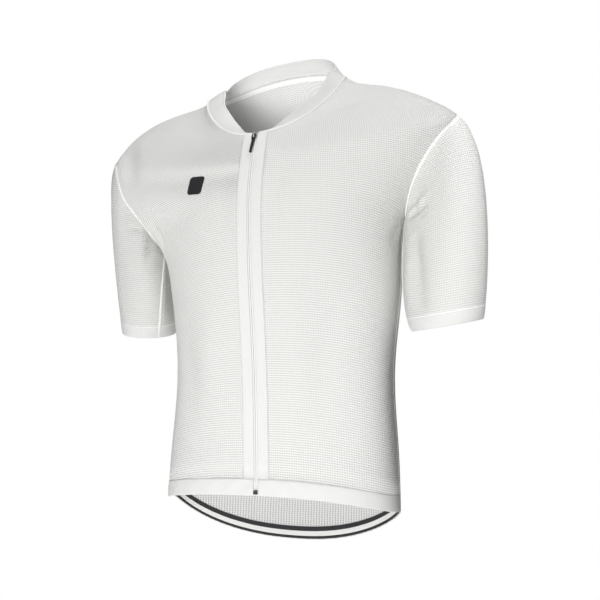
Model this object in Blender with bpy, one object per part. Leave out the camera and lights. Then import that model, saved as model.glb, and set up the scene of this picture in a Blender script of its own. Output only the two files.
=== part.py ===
# Short-sleeved cycling jersey in its worn, hollow form.
# Metres, +Z up, front towards -Y, the wearer's left is +X.
# The origin lies midway between the two side-neck points of the collar seam.
import math

import bmesh
import bpy
import numpy as np

for old in list(bpy.data.objects):
    bpy.data.objects.remove(old, do_unlink=True)

# ---- sizes -----------------------------------------------------------------
WALL = 0.0012            # cloth wall
GAP = 0.0003             # space between neighbouring pieces
HEM_BAND = 0.0210        # height of the front hem bands
GRIPPER_BAND = 0.0172    # height of the elastic inside the back hem
GRIPPER_WALL = 0.0010
CUFF_BAND = 0.0170       # height of the sleeve bands
COIL_EDGE = 0.0026       # half width of the closed zip
FACING_EDGE = 0.0168     # outer edge of the strip beside the zip
COIL_WALL = 0.0014

SIDE_POWER = 0.9         # roundness of the level rings
LIFT_POWER = 1.6         # how the ring height runs from side to middle

# Level rings from the hem to the neckline.
# side points of the wearer's left (lx ly lz) and right (rx ry rz),
# middle front (fy fz) and middle back (by bz), then powers for the fullness and the
# drop of the left front, the fullness of the right front and the lift of the right back
RING_COLUMNS = ("lx", "ly", "lz", "rx", "ry", "rz", "fy", "fz", "by", "bz",
                "left_full", "left_drop", "right_full", "right_lift")
RINGS = (
    ("hem",      (.1700, .0075, -.6140, .1700, .0075, -.6080,
                  -.0698, -.5935, .0720, -.6690, .82, 1.6, .90, 1.2)),
    ("hip",      (.1690, .0045, -.5265, .1670, .0145, -.5265,
                  -.0736, -.5075, .0820, -.5435, .70, 1.6, .90, 1.5)),
    ("waist",    (.1685, -.0030, -.4250, .1630, .0235, -.4250,
                  -.0834, -.4012, .0860, -.4275, .74, 1.6, .90, 1.6)),
    ("ribs",     (.1790, .0060, -.3130, .1750, .0262, -.3130,
                  -.0980, -.2950, .1020, -.3135, .68, 1.6, .90, 1.6)),
    ("armpit",   (.1896, .0006, -.2227, .1885, -.0085, -.2382,
                  -.1020, -.2060, .1175, -.2080, .72, 1.6, .78, 1.6)),
    ("chest",    (.2463, -.0173, -.1379, .2538, -.0260, -.1568,
                  -.0985, -.1720, .1175, -.1320, .90, 1.6, .62, 1.6)),
    ("tip",      (.2684, -.0263, -.1009, .2580, -.0369, -.0968,
                  -.0945, -.1500, .1025, -.0695, .90, 1.6, .84, 1.6)),
    ("slope",    (.1922, -.0145, -.0452, .2040, -.0231, -.0405,
                  -.0905, -.1340, .0890, -.0335, .90, 1.45, .90, 1.6)),
    ("shoulder", (.1310, -.0026, -.0190, .1304, -.0058, -.0157,
                  -.0865, -.1190, .0715, .0040, .90, 1.25, .90, 1.6)),
    ("neck",     (.1091, -.0105, -.0069, .1091, -.0106, -.0068,
                  -.0830, -.1050, .0520, .0425, .88, 1.05, .90, 1.6)),
)
ARMPIT_RING, TIP_RING, NECK_RING = 4, 6, 9

# armhole edge: ring value against the angle of its front and back, in degrees
ARMHOLE = {
    "left": {"front": ((4, 90), (4.5, 79.4), (5.1, 73.2), (5.7, 76.6), (6, 90)),
             "back": ((4, 90), (4.5, 97.9), (5.1, 104.3), (5.7, 102.6), (6, 90))},
    "right": {"front": ((4, 90), (4.3, 75.5), (4.6, 70), (5, 62.5), (5.4, 61.5), (5.7, 65.5),
                        (5.88, 74), (6, 90)),
              "back": ((4, 90), (4.5, 106), (5.1, 102.2), (5.7, 105), (6, 90))},
}

# sleeve end ring: middle, half widths, turn in plan, rise of its two axes; how the
# cloth leaves the armhole at its tip, front, armpit and back, how it arrives and
# narrows at the end, and how far it follows the torso's surface where it leaves
SLEEVE = {
    "left": {"middle": (.2430, -.0167, -.3771), "across": .0455, "deep": .0435,
             "turn": -.011, "rise_out": .125, "rise_front": -.1785,
             "leave_tip": (.134, .005, -.104), "leave_front": (.060, -.020, -.1508),
             "leave_armpit": (-.020, -.030, -.172), "leave_back": (.0608, .0301, -.1514),
             "arrive": .0773, "narrow": .035, "hug": 0.0},
    "right": {"middle": (.2251, .0119, -.3626), "across": .0418, "deep": .0425,
              "turn": .44, "rise_out": .277, "rise_front": -.210,
              "leave_tip": (.100, .0201, -.100), "leave_front": (.070, -.010, -.140),
              "leave_armpit": (-.055, -.070, -.1581), "leave_back": (-.010, .0331, -.1462),
              "arrive": .0916, "narrow": .012, "hug": .5},
}

# collar: angle round the neck from the middle front, its height, how far its top
# leans in for each metre of height and how far it rises
COLLAR_COLUMNS = ("angle", "height", "lean", "rise")
COLLAR = (
    (3, .0035, .84, .54), (10, .0120, .84, .54), (15, .0188, .71, .71),
    (20, .0242, .64, .77), (30, .0317, .61, .79), (45, .0345, .62, .78),
    (55, .0343, .72, .69), (65, .0333, .82, .57), (85, .0280, .88, .48),
    (120, .0240, .62, .78), (150, .0245, .30, .95), (180, .0240, .20, .98),
)

# soft troughs: two ends, half width, depth
FOLD_COLUMNS = ("from", "to", "width", "depth")
FOLD_START, FOLD_RUN = .12, .82   # stretch of half a wave that a fold's depth follows
FOLDS = (
    ((.186, -.030, -.245), (.125, -.088, -.320), .013, .0035),
    ((.184, -.010, -.262), (.140, -.075, -.365), .012, .0025),
    ((-.188, -.030, -.258), (-.120, -.090, -.330), .013, .0030),
    ((.186, .045, -.245), (.120, .103, -.330), .013, .0030),
    ((-.188, .045, -.255), (-.125, .100, -.320), .012, .0030),
)

BADGE = {"ring": 4.834, "angle": -18.0, "width": .0232, "height": .0262, "corner": .0045,
         "lean": -12.0, "slope": -4.0, "wall": .0010, "rise": .0007}
POCKET = {"rows": (4, 10), "columns": (4, 23)}   # counted on the back panel's grid

SLIDER_RING = 8.62
SLIDER = {"width": .0084, "length": .0110, "corner": .0022, "wall": .0020,
          "arch_width": .0020, "arch_length": .0086, "arch_height": .0042,
          "arch_wall": .0012, "arch_root": .0008}
PULL = {"length": .0300, "head": .0058, "stem": .0034, "corner": .0018, "wall": .0014,
        "shoulder": .0062, "waist": .0092, "bar": .0014, "eye_width": .0036,
        "eye_length": .0046, "eye_corner": .0007, "hang": .52, "lean": -5.0}
STOP = {"width": .0056, "length": .0050, "corner": .0010, "wall": .0022, "rise": .0042}


# ---- the form --------------------------------------------------------------
def smooth_through(knots, values, at):
    """Natural cubic through the rows of values, one row for each knot."""
    knots = np.asarray(knots, float)
    values = np.asarray(values, float).reshape(len(knots), -1)
    count, steps = len(knots), np.diff(knots)
    system, right = np.zeros((count, count)), np.zeros((count, values.shape[1]))
    system[0, 0] = system[-1, -1] = 1.0
    for i in range(1, count - 1):
        system[i, i - 1:i + 2] = steps[i - 1], 2 * (steps[i - 1] + steps[i]), steps[i]
        right[i] = 6 * ((values[i + 1] - values[i]) / steps[i]
                        - (values[i] - values[i - 1]) / steps[i - 1])
    bend = np.linalg.solve(system, right)
    at = np.ravel(np.asarray(at, float))
    k = np.clip(np.searchsorted(knots, at) - 1, 0, count - 2)
    a, b, h = (knots[k + 1] - at)[:, None], (at - knots[k])[:, None], steps[k][:, None]
    return (bend[k] * a ** 3 + bend[k + 1] * b ** 3) / (6 * h) \
        + (values[k] / h - bend[k] * h / 6) * a + (values[k + 1] / h - bend[k + 1] * h / 6) * b


RING_TABLE = np.array([sizes for _, sizes in RINGS])


def body_point(ring, angle):
    """Points of the torso; angle 0 is middle front, +90 degrees the wearer's left."""
    ring, angle = np.broadcast_arrays(np.asarray(ring, float), np.asarray(angle, float))
    table = smooth_through(np.arange(len(RINGS)), RING_TABLE, ring)
    size = {name: table[:, i].reshape(ring.shape) for i, name in enumerate(RING_COLUMNS)}
    sine, cosine = np.sin(angle), np.cos(angle)
    left, front = sine >= 0, cosine >= 0
    side = [np.where(left, size["l" + axis], size["r" + axis]) for axis in "xyz"]
    mid_y = np.where(front, size["fy"], size["by"])
    mid_z = np.where(front, size["fz"], size["bz"])
    power = np.where(front, np.where(left, size["left_full"], size["right_full"]), SIDE_POWER)
    lift = np.where(front, np.where(left, size["left_drop"], LIFT_POWER),
                    np.where(left, LIFT_POWER, size["right_lift"]))
    x = np.sign(sine) * side[0] * np.abs(sine) ** SIDE_POWER
    y = side[1] + (mid_y - side[1]) * np.abs(cosine) ** power
    z = side[2] + (mid_z - side[2]) * np.abs(cosine) ** lift
    return np.stack([x, y, z], -1)


def unit(vectors):
    return vectors / np.linalg.norm(vectors, axis=-1, keepdims=True)


def body_normal(ring, angle, step=.004):
    across = body_point(ring, angle + step) - body_point(ring, angle - step)
    along = body_point(ring + step, angle) - body_point(ring - step, angle)
    return unit(np.cross(across, along))


def folded(points):
    """Presses the soft troughs in, towards the upright axis of the torso."""
    inward = -points * [1, 1, 0]
    inward = inward / np.maximum(np.linalg.norm(inward, axis=-1, keepdims=True), .02)
    depth = np.zeros(points.shape[:-1])
    for row in FOLDS:
        fold = dict(zip(FOLD_COLUMNS, row))
        start, run = np.array(fold["from"]), np.array(fold["to"]) - fold["from"]
        part = np.clip(((points - start) @ run) / (run @ run), 0, 1)
        away = np.linalg.norm(points - start - part[..., None] * run, axis=-1)
        along = np.sin(np.pi * (FOLD_START + FOLD_RUN * part))
        depth += fold["depth"] * np.exp(-(away / fold["width"]) ** 2) * along
    return points + inward * depth[..., None]


def armhole_angle(side, face, ring):
    knots = np.array(ARMHOLE[side][face])
    inside = (ring > ARMPIT_RING) & (ring < TIP_RING)
    curve = smooth_through(knots[:, 0], knots[:, 1], np.clip(ring, ARMPIT_RING, TIP_RING))
    return np.radians(np.where(inside, curve.reshape(np.shape(ring)), 90.0))


def angle_at_width(ring, x, side):
    table = smooth_through(np.arange(len(RINGS)), RING_TABLE, ring)
    wide = table[:, RING_COLUMNS.index("lx" if side == "left" else "rx")]
    return np.arcsin((x / wide.reshape(np.shape(ring))) ** (1 / SIDE_POWER))


def ring_at_height(angle, length):
    """Ring value that lies the given length of cloth above the hem."""
    angle = np.ravel(angle)
    rings = np.linspace(0, 1.2, 49)[:, None]
    line = body_point(rings, angle[None, :])
    run = np.concatenate([np.zeros((1, angle.size)),
                          np.cumsum(np.linalg.norm(np.diff(line, axis=0), axis=-1), axis=0)])
    return np.array([np.interp(length, run[:, i], rings[:, 0]) for i in range(angle.size)])


# ring values of the panels' rows above the hem band
LOW_ROWS = (.52, .86, 1.2, 1.55, 1.9, 2.25, 2.6, 2.9, 3.2, 3.45, 3.65, 3.83)
ARM_ROWS = tuple(np.linspace(4, 6, 13))
TOP_ROWS = (6.3, 6.65, 7.0, 7.4, 7.8, 8.2, 8.6, 9.0)
PANEL_ROWS = np.array(LOW_ROWS + ARM_ROWS + TOP_ROWS)
FRONT_COLUMNS, BACK_COLUMNS = 14, 27
SIGN = {"left": 1.0, "right": -1.0}


def sleeve_point(side, phi, t):
    """phi 0 is the shoulder tip, half a turn over the front leads to the armpit;
    t runs from the armhole (0) to the end of the sleeve (1)."""
    phi, t = np.broadcast_arrays(np.asarray(phi, float), np.asarray(t, float))
    phi = np.mod(phi, 2 * np.pi)
    over_front = phi <= np.pi
    ring = np.where(over_front, 6 - 2 * phi / np.pi, 2 + 2 * phi / np.pi)
    angle = np.where(over_front, armhole_angle(side, "front", ring),
                     armhole_angle(side, "back", ring))
    start = body_point(ring, SIGN[side] * angle) * [SIGN[side], 1, 1]
    s = SLEEVE[side]
    out = unit(np.array([math.cos(s["turn"]), math.sin(s["turn"]), s["rise_out"]]))
    ahead = unit(np.array([math.sin(s["turn"]), -math.cos(s["turn"]), s["rise_front"]]))
    cosine, sine = np.cos(phi)[..., None], np.sin(phi)[..., None]
    end = np.array(s["middle"]) + s["across"] * cosine * out + s["deep"] * sine * ahead
    down = unit(np.cross(out, ahead))
    down = -down if down[2] > 0 else down
    leave = (cosine ** 2 * (cosine > 0)) * np.array(s["leave_tip"]) \
        + (cosine ** 2 * (cosine <= 0)) * np.array(s["leave_armpit"]) \
        + (sine ** 2 * (sine > 0)) * np.array(s["leave_front"]) \
        + (sine ** 2 * (sine <= 0)) * np.array(s["leave_back"])
    length = np.linalg.norm(leave, axis=-1, keepdims=True)
    normal = body_normal(ring, SIGN[side] * angle) * [SIGN[side], 1, 1]
    share = np.clip((cosine + .7) / 1.2, 0, 1)
    share = s["hug"] * share * share * (3 - 2 * share)
    leave = unit(leave - normal * np.sum(leave * normal, -1, keepdims=True) * share) * length
    arrive = down * s["arrive"] - (cosine * out + sine * ahead) * s["narrow"]
    t = t[..., None]
    point = (2 * t ** 3 - 3 * t ** 2 + 1) * start + (t ** 3 - 2 * t ** 2 + t) * leave \
        + (3 * t ** 2 - 2 * t ** 3) * end + (t ** 3 - t ** 2) * arrive
    return point * [SIGN[side], 1, 1]


def sleeve_normal(side, phi, t, step=.01):
    low, high = np.clip(t - step, 0, 1), np.clip(t + step, 0, 1)
    around = sleeve_point(side, phi + step, t) - sleeve_point(side, phi - step, t)
    along = sleeve_point(side, phi, high) - sleeve_point(side, phi, low)
    return unit(np.cross(around, along)) * SIGN[side]


def shared_normal(own, other):
    """Mitre direction of two pieces at their seam, own direction on a sharp fold."""
    agree = np.sum(own * other, -1, keepdims=True)
    weight = np.clip(agree / .5, 0, 1)
    weight = weight * weight * (3 - 2 * weight)
    return unit(own * (1 - weight) + unit(own + other + 1e-9) * weight)


def collar_frame(angles):
    """Foot of the collar, its rising direction, its height and its outward normal."""
    angles = np.ravel(angles)
    table = np.array(COLLAR)
    table = np.vstack([table, (table[:-1] * [-1, 1, 1, 1] + [360, 0, 0, 0])[::-1]])
    turn = np.radians(table[:, COLLAR_COLUMNS.index("angle")])
    height, lean, rise = smooth_through(turn, table[:, 1:], np.mod(angles, 2 * np.pi)).T
    neck = np.full(len(angles), float(NECK_RING))
    ahead = body_point(neck, angles + .01) - body_point(neck, angles - .01)
    outward = unit(np.cross(ahead, [0, 0, 1]) * [1, 1, 0])
    reach = unit(-outward * lean[:, None] + rise[:, None] * np.array([0, 0, 1]))
    return body_point(neck, angles), reach, height, unit(np.cross(ahead, reach))


# ---- solids ----------------------------------------------------------------
def finish(name, mesh, material):
    bmesh.ops.recalc_face_normals(mesh, faces=mesh.faces)
    if mesh.calc_volume(signed=True) < 0:
        bmesh.ops.reverse_faces(mesh, faces=mesh.faces)
    data = bpy.data.meshes.new(name)
    mesh.to_mesh(data)
    mesh.free()
    data.materials.append(material)
    item = bpy.data.objects.new(name, data)
    bpy.context.scene.collection.objects.link(item)
    return item


def pulled_in(points, edges, amount=GAP / 2):
    """Moves the named edge rows of a grid towards the rows beside them."""
    points = points.copy()
    for edge in edges:
        rim, near = {"first": ((0, slice(None)), (1, slice(None))),
                     "last": ((-1, slice(None)), (-2, slice(None))),
                     "low": ((slice(None), 0), (slice(None), 1)),
                     "high": ((slice(None), -1), (slice(None), -2))}[edge]
        points[rim] += unit(points[near] - points[rim]) * amount
    return points


def slab(name, points, normals, wall, material, closed=False):
    """Solid cloth wall behind a grid of outer points; closed grids wrap in columns."""
    rows, columns = points.shape[:2]
    mesh = bmesh.new()
    outer = [[mesh.verts.new(p) for p in row] for row in points.tolist()]
    inner = [[mesh.verts.new(p) for p in row] for row in (points - normals * wall).tolist()]
    wraps = columns if closed else columns - 1
    for i in range(rows - 1):
        for j in range(wraps):
            k = (j + 1) % columns
            mesh.faces.new((outer[i][j], outer[i][k], outer[i + 1][k], outer[i + 1][j]))
            mesh.faces.new((inner[i][j], inner[i + 1][j], inner[i + 1][k], inner[i][k]))
    for i in (0, rows - 1):
        for j in range(wraps):
            k = (j + 1) % columns
            mesh.faces.new((outer[i][j], inner[i][j], inner[i][k], outer[i][k]))
    if not closed:
        for j in (0, columns - 1):
            for i in range(rows - 1):
                mesh.faces.new((outer[i][j], outer[i + 1][j], inner[i + 1][j], inner[i][j]))
    return finish(name, mesh, material)


def paint(name, colour, rough, metal=0.0):
    material = bpy.data.materials.new(name)
    material.use_nodes = True
    shader = material.node_tree.nodes["Principled BSDF"]
    shader.inputs["Base Color"].default_value = (*colour, 1)
    shader.inputs["Roughness"].default_value = rough
    shader.inputs["Metallic"].default_value = metal
    return material


mesh_white = paint("mesh_white", (.80, .80, .78), .85)
band_white = paint("band_white", (.86, .86, .85), .75)
elastic_black = paint("elastic_black", (.03, .03, .035), .7)
zip_grey = paint("zip_grey", (.62, .62, .62), .5)
metal_grey = paint("metal_grey", (.40, .40, .42), .35, 1.0)
tab_black = paint("tab_black", (.02, .02, .022), .45)


# ---- front panels, hem bands, zip strips -------------------------------------
def strip_grid(side, low_x, high_x, columns, rows):
    """Grid beside the zip between two distances from the middle, rows are ring values."""
    widths = np.linspace(low_x, high_x, columns)[None, :]
    rings = np.broadcast_to(rows, (rows.shape[0], columns))
    angle = angle_at_width(rings, widths, side) * SIGN[side]
    normals = body_normal(rings, angle)
    normals[-1] = shared_normal(normals[-1], collar_frame(angle[-1])[3])
    return body_point(rings, angle), normals


for side in ("left", "right"):
    sign = SIGN[side]
    # main panel: columns from the zip strip to the side seam and armhole
    share = np.linspace(0, 1, FRONT_COLUMNS)[None, :]
    rows = PANEL_ROWS[:, None]
    inner_edge = angle_at_width(rows, FACING_EDGE, side)
    outer_edge = armhole_angle(side, "front", rows)
    angles = inner_edge + (outer_edge - inner_edge) * share
    rings = np.broadcast_to(rows, angles.shape)
    first = np.linspace(angle_at_width(np.array([.2]), FACING_EDGE, side)[0], np.pi / 2,
                        FRONT_COLUMNS)
    band_top = ring_at_height(first * sign, HEM_BAND)
    angles = np.vstack([first, angles]) * sign
    rings = np.vstack([band_top, rings])
    points, normals = body_point(rings, angles), body_normal(rings, angles)
    at_arm = slice(1 + len(LOW_ROWS), 1 + len(LOW_ROWS) + len(ARM_ROWS))
    arm_phi = (6 - rings[at_arm, -1]) * np.pi / 2
    normals[at_arm, -1] = shared_normal(normals[at_arm, -1],
                                        sleeve_normal(side, arm_phi, np.zeros(len(arm_phi))))
    normals[-1] = shared_normal(normals[-1], collar_frame(angles[-1])[3])
    points = pulled_in(folded(points), ("first", "last", "low", "high"))
    slab("front_" + side, points, normals, WALL, mesh_white)

    # hem band from the zip to the side seam
    first = np.linspace(angle_at_width(np.array([.1]), COIL_EDGE, side)[0], np.pi / 2, 17)
    top = ring_at_height(first * sign, HEM_BAND)
    rings = np.linspace(0, 1, 4)[:, None] * top[None, :]
    angles = np.broadcast_to(first * sign, rings.shape)
    points = pulled_in(body_point(rings, angles), ("last", "low", "high"))
    slab("hem_front_" + side, points, body_normal(rings, angles), WALL, band_white)

    # smooth strip beside the zip and one half of the closed zip
    start = float(ring_at_height(np.array([.03]), HEM_BAND)[0])
    rows = np.concatenate([[start], PANEL_ROWS])[:, None]
    points, normals = strip_grid(side, COIL_EDGE, FACING_EDGE, 4, rows)
    slab("zip_facing_" + side, pulled_in(points, ("first", "last", "low", "high")),
         normals, WALL, band_white)
    rows = np.concatenate([[0, start], PANEL_ROWS])[:, None]
    points, normals = strip_grid(side, .00001, COIL_EDGE, 3, rows)
    points = pulled_in(points, ("last", "low", "high")) - normals * .0002
    slab("zip_coil_" + side, points, normals, COIL_WALL, zip_grey)

# ---- back panel, elastic, pocket ---------------------------------------------
share = np.linspace(0, 1, BACK_COLUMNS)[None, :]
rows = PANEL_ROWS[:, None]
left_edge = armhole_angle("left", "back", rows)
right_edge = 2 * np.pi - armhole_angle("right", "back", rows)
angles = left_edge + (right_edge - left_edge) * share
rings = np.broadcast_to(rows, angles.shape)
low_angles = np.pi / 2 + np.pi * share
low_rows = [np.zeros((1, BACK_COLUMNS))] + [ring_at_height(low_angles, height)[None, :]
                                  for height in (.0006, GRIPPER_BAND / 2, GRIPPER_BAND)]
rings = np.vstack(low_rows + [rings])
angles = np.vstack([low_angles] * 4 + [angles])
points, normals = body_point(rings, angles), body_normal(rings, angles)
at_arm = slice(4 + len(LOW_ROWS), 4 + len(LOW_ROWS) + len(ARM_ROWS))
arm_phi = (rings[at_arm, 0] - 2) * np.pi / 2
for column, side in ((0, "left"), (-1, "right")):
    normals[at_arm, column] = shared_normal(
        normals[at_arm, column], sleeve_normal(side, arm_phi, np.zeros(len(arm_phi))))
normals[-1] = shared_normal(normals[-1], collar_frame(angles[-1])[3])
panel = pulled_in(folded(points), ("last", "low", "high"))
slab("back_panel", panel, normals, WALL, mesh_white)

strip = slice(1, 4), slice(1, -1)
slab("gripper_back", panel[strip] - normals[strip] * (WALL + GAP), normals[strip],
     GRIPPER_WALL, elastic_black)

patch = slice(*POCKET["rows"]), slice(*POCKET["columns"])
slab("pocket_back", panel[patch] + normals[patch] * (GAP + WALL), normals[patch],
     WALL, mesh_white)

# ---- sleeves and cuffs ---------------------------------------------------------
for side in ("left", "right"):
    phi = np.linspace(0, 2 * np.pi, 25)[:-1]
    fine = np.linspace(0, 1, 81)
    line = sleeve_point(side, phi[None, :], fine[:, None])
    run = np.cumsum(np.linalg.norm(np.diff(line[::-1], axis=0), axis=-1), axis=0)
    run = np.vstack([np.zeros((1, len(phi))), run])
    seam = np.array([1 - np.interp(CUFF_BAND, run[:, i], fine) for i in range(len(phi))])
    t = np.linspace(0, 1, 17)[:, None] * seam[None, :]
    around = np.broadcast_to(phi, t.shape)
    points, normals = sleeve_point(side, around, t), sleeve_normal(side, around, t)
    over_front = phi <= np.pi
    ring = np.where(over_front, 6 - 2 * phi / np.pi, 2 + 2 * phi / np.pi)
    angle = np.where(over_front, armhole_angle(side, "front", ring),
                     armhole_angle(side, "back", ring)) * SIGN[side]
    normals[0] = shared_normal(normals[0], body_normal(ring, angle))
    slab("sleeve_" + side, pulled_in(points, ("first", "last")), normals, WALL,
         mesh_white, closed=True)
    t = seam[None, :] + (1 - seam)[None, :] * np.linspace(0, 1, 4)[:, None]
    around = np.broadcast_to(phi, t.shape)
    points = sleeve_point(side, around, t)
    slab("cuff_" + side, pulled_in(points, ("first",)), sleeve_normal(side, around, t),
         WALL, band_white, closed=True)

# ---- collar --------------------------------------------------------------------
neck = np.array([float(NECK_RING)])
strip_edge = angle_at_width(neck, np.linspace(COIL_EDGE, FACING_EDGE, 4)[1:], "left")
half = np.concatenate([strip_edge, np.linspace(strip_edge[-1], np.pi / 2, FRONT_COLUMNS)[1:],
                       np.linspace(np.pi / 2, 3 * np.pi / 2, BACK_COLUMNS)[1:BACK_COLUMNS // 2 + 1]])
angles = np.concatenate([half, 2 * np.pi - half[-2::-1]])
base, reach, height, facing_out = collar_frame(angles)
up = np.linspace(0, 1, 4)[:, None, None]
points = base + reach * (height[:, None] * up + GAP / 2)
normals = np.broadcast_to(facing_out, points.shape).copy()
normals[0] = shared_normal(facing_out, body_normal(np.full(len(angles), 9.0), angles))
slab("collar", points, normals, WALL, band_white)

# ---- badge ---------------------------------------------------------------------
def rounded(width, height, corner, count=5, centre=(0, 0)):
    """Outline of a rounded rectangle."""
    outline = []
    for quarter in range(4):
        cx = (width / 2 - corner) * (1 if quarter in (0, 3) else -1)
        cy = (height / 2 - corner) * (1 if quarter < 2 else -1)
        for i in range(count):
            a = math.radians(90 * quarter + 90 * i / (count - 1))
            outline.append((centre[0] + cx + corner * math.cos(a),
                            centre[1] + cy + corner * math.sin(a)))
    return outline


def nearest_on_body(wanted, ring, angle, step=.002):
    """Ring and angle values of the torso points nearest to the wanted ones."""
    ring, angle = np.full(wanted.shape[:-1], ring), np.full(wanted.shape[:-1], angle)
    for _ in range(6):
        here = body_point(ring, angle)
        along = (body_point(ring + step, angle) - here) / step
        across = (body_point(ring, angle + step) - here) / step
        turn = np.stack([along, across], -1)
        move = np.einsum("...ij,...j->...i", np.linalg.pinv(turn), wanted - here)
        ring, angle = ring + move[..., 0], angle + move[..., 1]
    return ring, angle


centre_ring, centre_angle = BADGE["ring"], math.radians(BADGE["angle"])
normal = body_normal(np.array([centre_ring]), np.array([centre_angle]))[0]
upright = unit(np.array([0, 0, 1.0]) - normal * normal[2])
sideways = np.cross(normal, upright)
lean, slope = math.radians(BADGE["lean"]), math.radians(BADGE["slope"])
tall = upright * math.cos(lean) + sideways * math.sin(lean)
wide = upright * math.sin(slope) - sideways * math.cos(slope)
rim = np.array(rounded(BADGE["width"], BADGE["height"], BADGE["corner"], 6))
shares = np.array([.05, .4, .75, 1.0])
flat = rim[None] * shares[:, None, None]
wanted = body_point(centre_ring, centre_angle) + flat[..., :1] * wide + flat[..., 1:] * tall
rings, angles = nearest_on_body(wanted, centre_ring, centre_angle)
normals = body_normal(rings, angles)
points = body_point(rings, angles) + normals * (BADGE["rise"] + BADGE["wall"])
spokes = len(rim)
mesh = bmesh.new()
shells = [[[mesh.verts.new(p) for p in row] for row in grid.tolist()]
          for grid in (points, points - normals * BADGE["wall"])]
for shell in shells:
    mesh.faces.new(shell[0])
    for i in range(len(shares) - 1):
        for j in range(spokes):
            k = (j + 1) % spokes
            mesh.faces.new((shell[i][j], shell[i][k], shell[i + 1][k], shell[i + 1][j]))
for j in range(spokes):
    k = (j + 1) % spokes
    mesh.faces.new((shells[0][-1][j], shells[0][-1][k], shells[1][-1][k], shells[1][-1][j]))
finish("badge_chest", mesh, tab_black)


# ---- zip hardware ----------------------------------------------------------------
def zip_frame(ring):
    """Point on the zip and its directions: across, up along the zip, outward."""
    point = body_point(ring, 0.0)
    outward = body_normal(np.array([ring]), np.array([0.0]))[0] * [0, 1, 1]
    outward = unit(outward)
    upward = unit(np.cross([1.0, 0, 0], outward) * -1)
    upward = upward if upward[2] > 0 else -upward
    return point, np.array([1.0, 0, 0]), upward, outward


def placed(frame, across, up, out):
    point, side_way, up_way, out_way = frame
    return point + side_way * across + up_way * up + out_way * out


def prism(name, frame, outline, low, high, axis, material, holes=()):
    """Straight solid on a flat outline with optional holes; axis 'out' or 'across'."""
    mesh = bmesh.new()
    loops = [outline, *holes]
    decks = []
    for level in (low, high):
        deck = []
        for loop in loops:
            if axis == "out":
                ring = [placed(frame, a, b, level) for a, b in loop]
            else:
                ring = [placed(frame, level, b, a) for a, b in loop]
            deck.append([mesh.verts.new(p) for p in ring])
        decks.append(deck)
    for deck in decks:
        edges = []
        for ring in deck:
            edges += [mesh.edges.new((ring[i], ring[(i + 1) % len(ring)]))
                      for i in range(len(ring))]
        bmesh.ops.triangle_fill(mesh, use_beauty=True, edges=edges)
    for low_ring, high_ring in zip(*decks):
        for i in range(len(low_ring)):
            k = (i + 1) % len(low_ring)
            mesh.faces.new((low_ring[i], low_ring[k], high_ring[k], high_ring[i]))
    return finish(name, mesh, material)


def joined(base, tool):
    """Joins tool to base with an exact boolean and removes tool."""
    union = base.modifiers.new("join", "BOOLEAN")
    union.operation, union.solver, union.object = "UNION", "EXACT", tool
    solid = bpy.data.meshes.new_from_object(
        base.evaluated_get(bpy.context.evaluated_depsgraph_get()))
    base.modifiers.clear()
    base.data = solid
    bpy.data.objects.remove(tool, do_unlink=True)
    return base


def pull_outline(steps=5):
    """Round head, straight to its shoulder, a short taper and a round-ended stem."""
    wide, thin, top = PULL["head"] / 2, PULL["stem"] / 2, PULL["bar"] / 2
    foot, corner = top - PULL["length"] + thin, PULL["corner"]
    quarter = [math.radians(90 * i / (steps - 1)) for i in range(steps)]
    line = [(thin * math.sin(a), foot - thin * math.cos(a)) for a in quarter]
    line += [(thin, -PULL["waist"]), (wide, -PULL["shoulder"])]
    line += [(wide - corner + corner * math.cos(a), top - corner + corner * math.sin(a))
             for a in quarter]
    return line + [(-x, y) for x, y in line[::-1]][:-1]


def leaning(outline):
    """Turns the tab's outline about its hinge, its foot towards the wearer's right."""
    cosine, sine = math.cos(math.radians(PULL["lean"])), math.sin(math.radians(PULL["lean"]))
    return [(x * cosine - y * sine, x * sine + y * cosine) for x, y in outline]


frame = zip_frame(SLIDER_RING)
low_face = GAP
top_face = low_face + SLIDER["wall"]
plate = prism("zip_slider", frame,
              rounded(SLIDER["width"], SLIDER["length"], SLIDER["corner"]),
              low_face, top_face, "out", metal_grey)
turns = [math.radians(180 * i / 14) for i in range(15)]
half_length, rise = SLIDER["arch_length"] / 2, SLIDER["arch_height"]
wall, root = SLIDER["arch_wall"], top_face - SLIDER["arch_root"]
arch = [(top_face + rise * math.sin(a), half_length * math.cos(a)) for a in turns]
arch += [(root, -half_length), (root, -half_length + wall)]
arch += [(top_face + (rise - wall) * math.sin(a), -(half_length - wall) * math.cos(a))
         for a in turns]
arch += [(root, half_length - wall), (root, half_length)]
bridge = prism("zip_bridge", frame, arch, -SLIDER["arch_width"] / 2,
               SLIDER["arch_width"] / 2, "across", metal_grey)
joined(plate, bridge)

# the pull hangs on a bar that passes under the bridge; its origin is on that bar
bar_out = top_face + (rise - wall) * PULL["hang"]
eye = rounded(PULL["eye_width"], PULL["eye_length"], PULL["eye_corner"], 3,
              (0, -PULL["bar"] / 2 - PULL["eye_length"] / 2))
tab = prism("zip_pull", frame, leaning(pull_outline()),
            bar_out - PULL["wall"] / 2, bar_out + PULL["wall"] / 2, "out", tab_black,
            holes=(leaning(eye),))
hinge = placed(frame, 0, 0, bar_out)
for vertex in tab.data.vertices:
    vertex.co = [vertex.co[i] - hinge[i] for i in range(3)]
tab.location = hinge.tolist()

frame = zip_frame(0.0)
prism("zip_stop", frame,
      rounded(STOP["width"], STOP["length"], STOP["corner"], centre=(0, STOP["rise"])),
      GAP, GAP + STOP["wall"], "out", tab_black)
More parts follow.
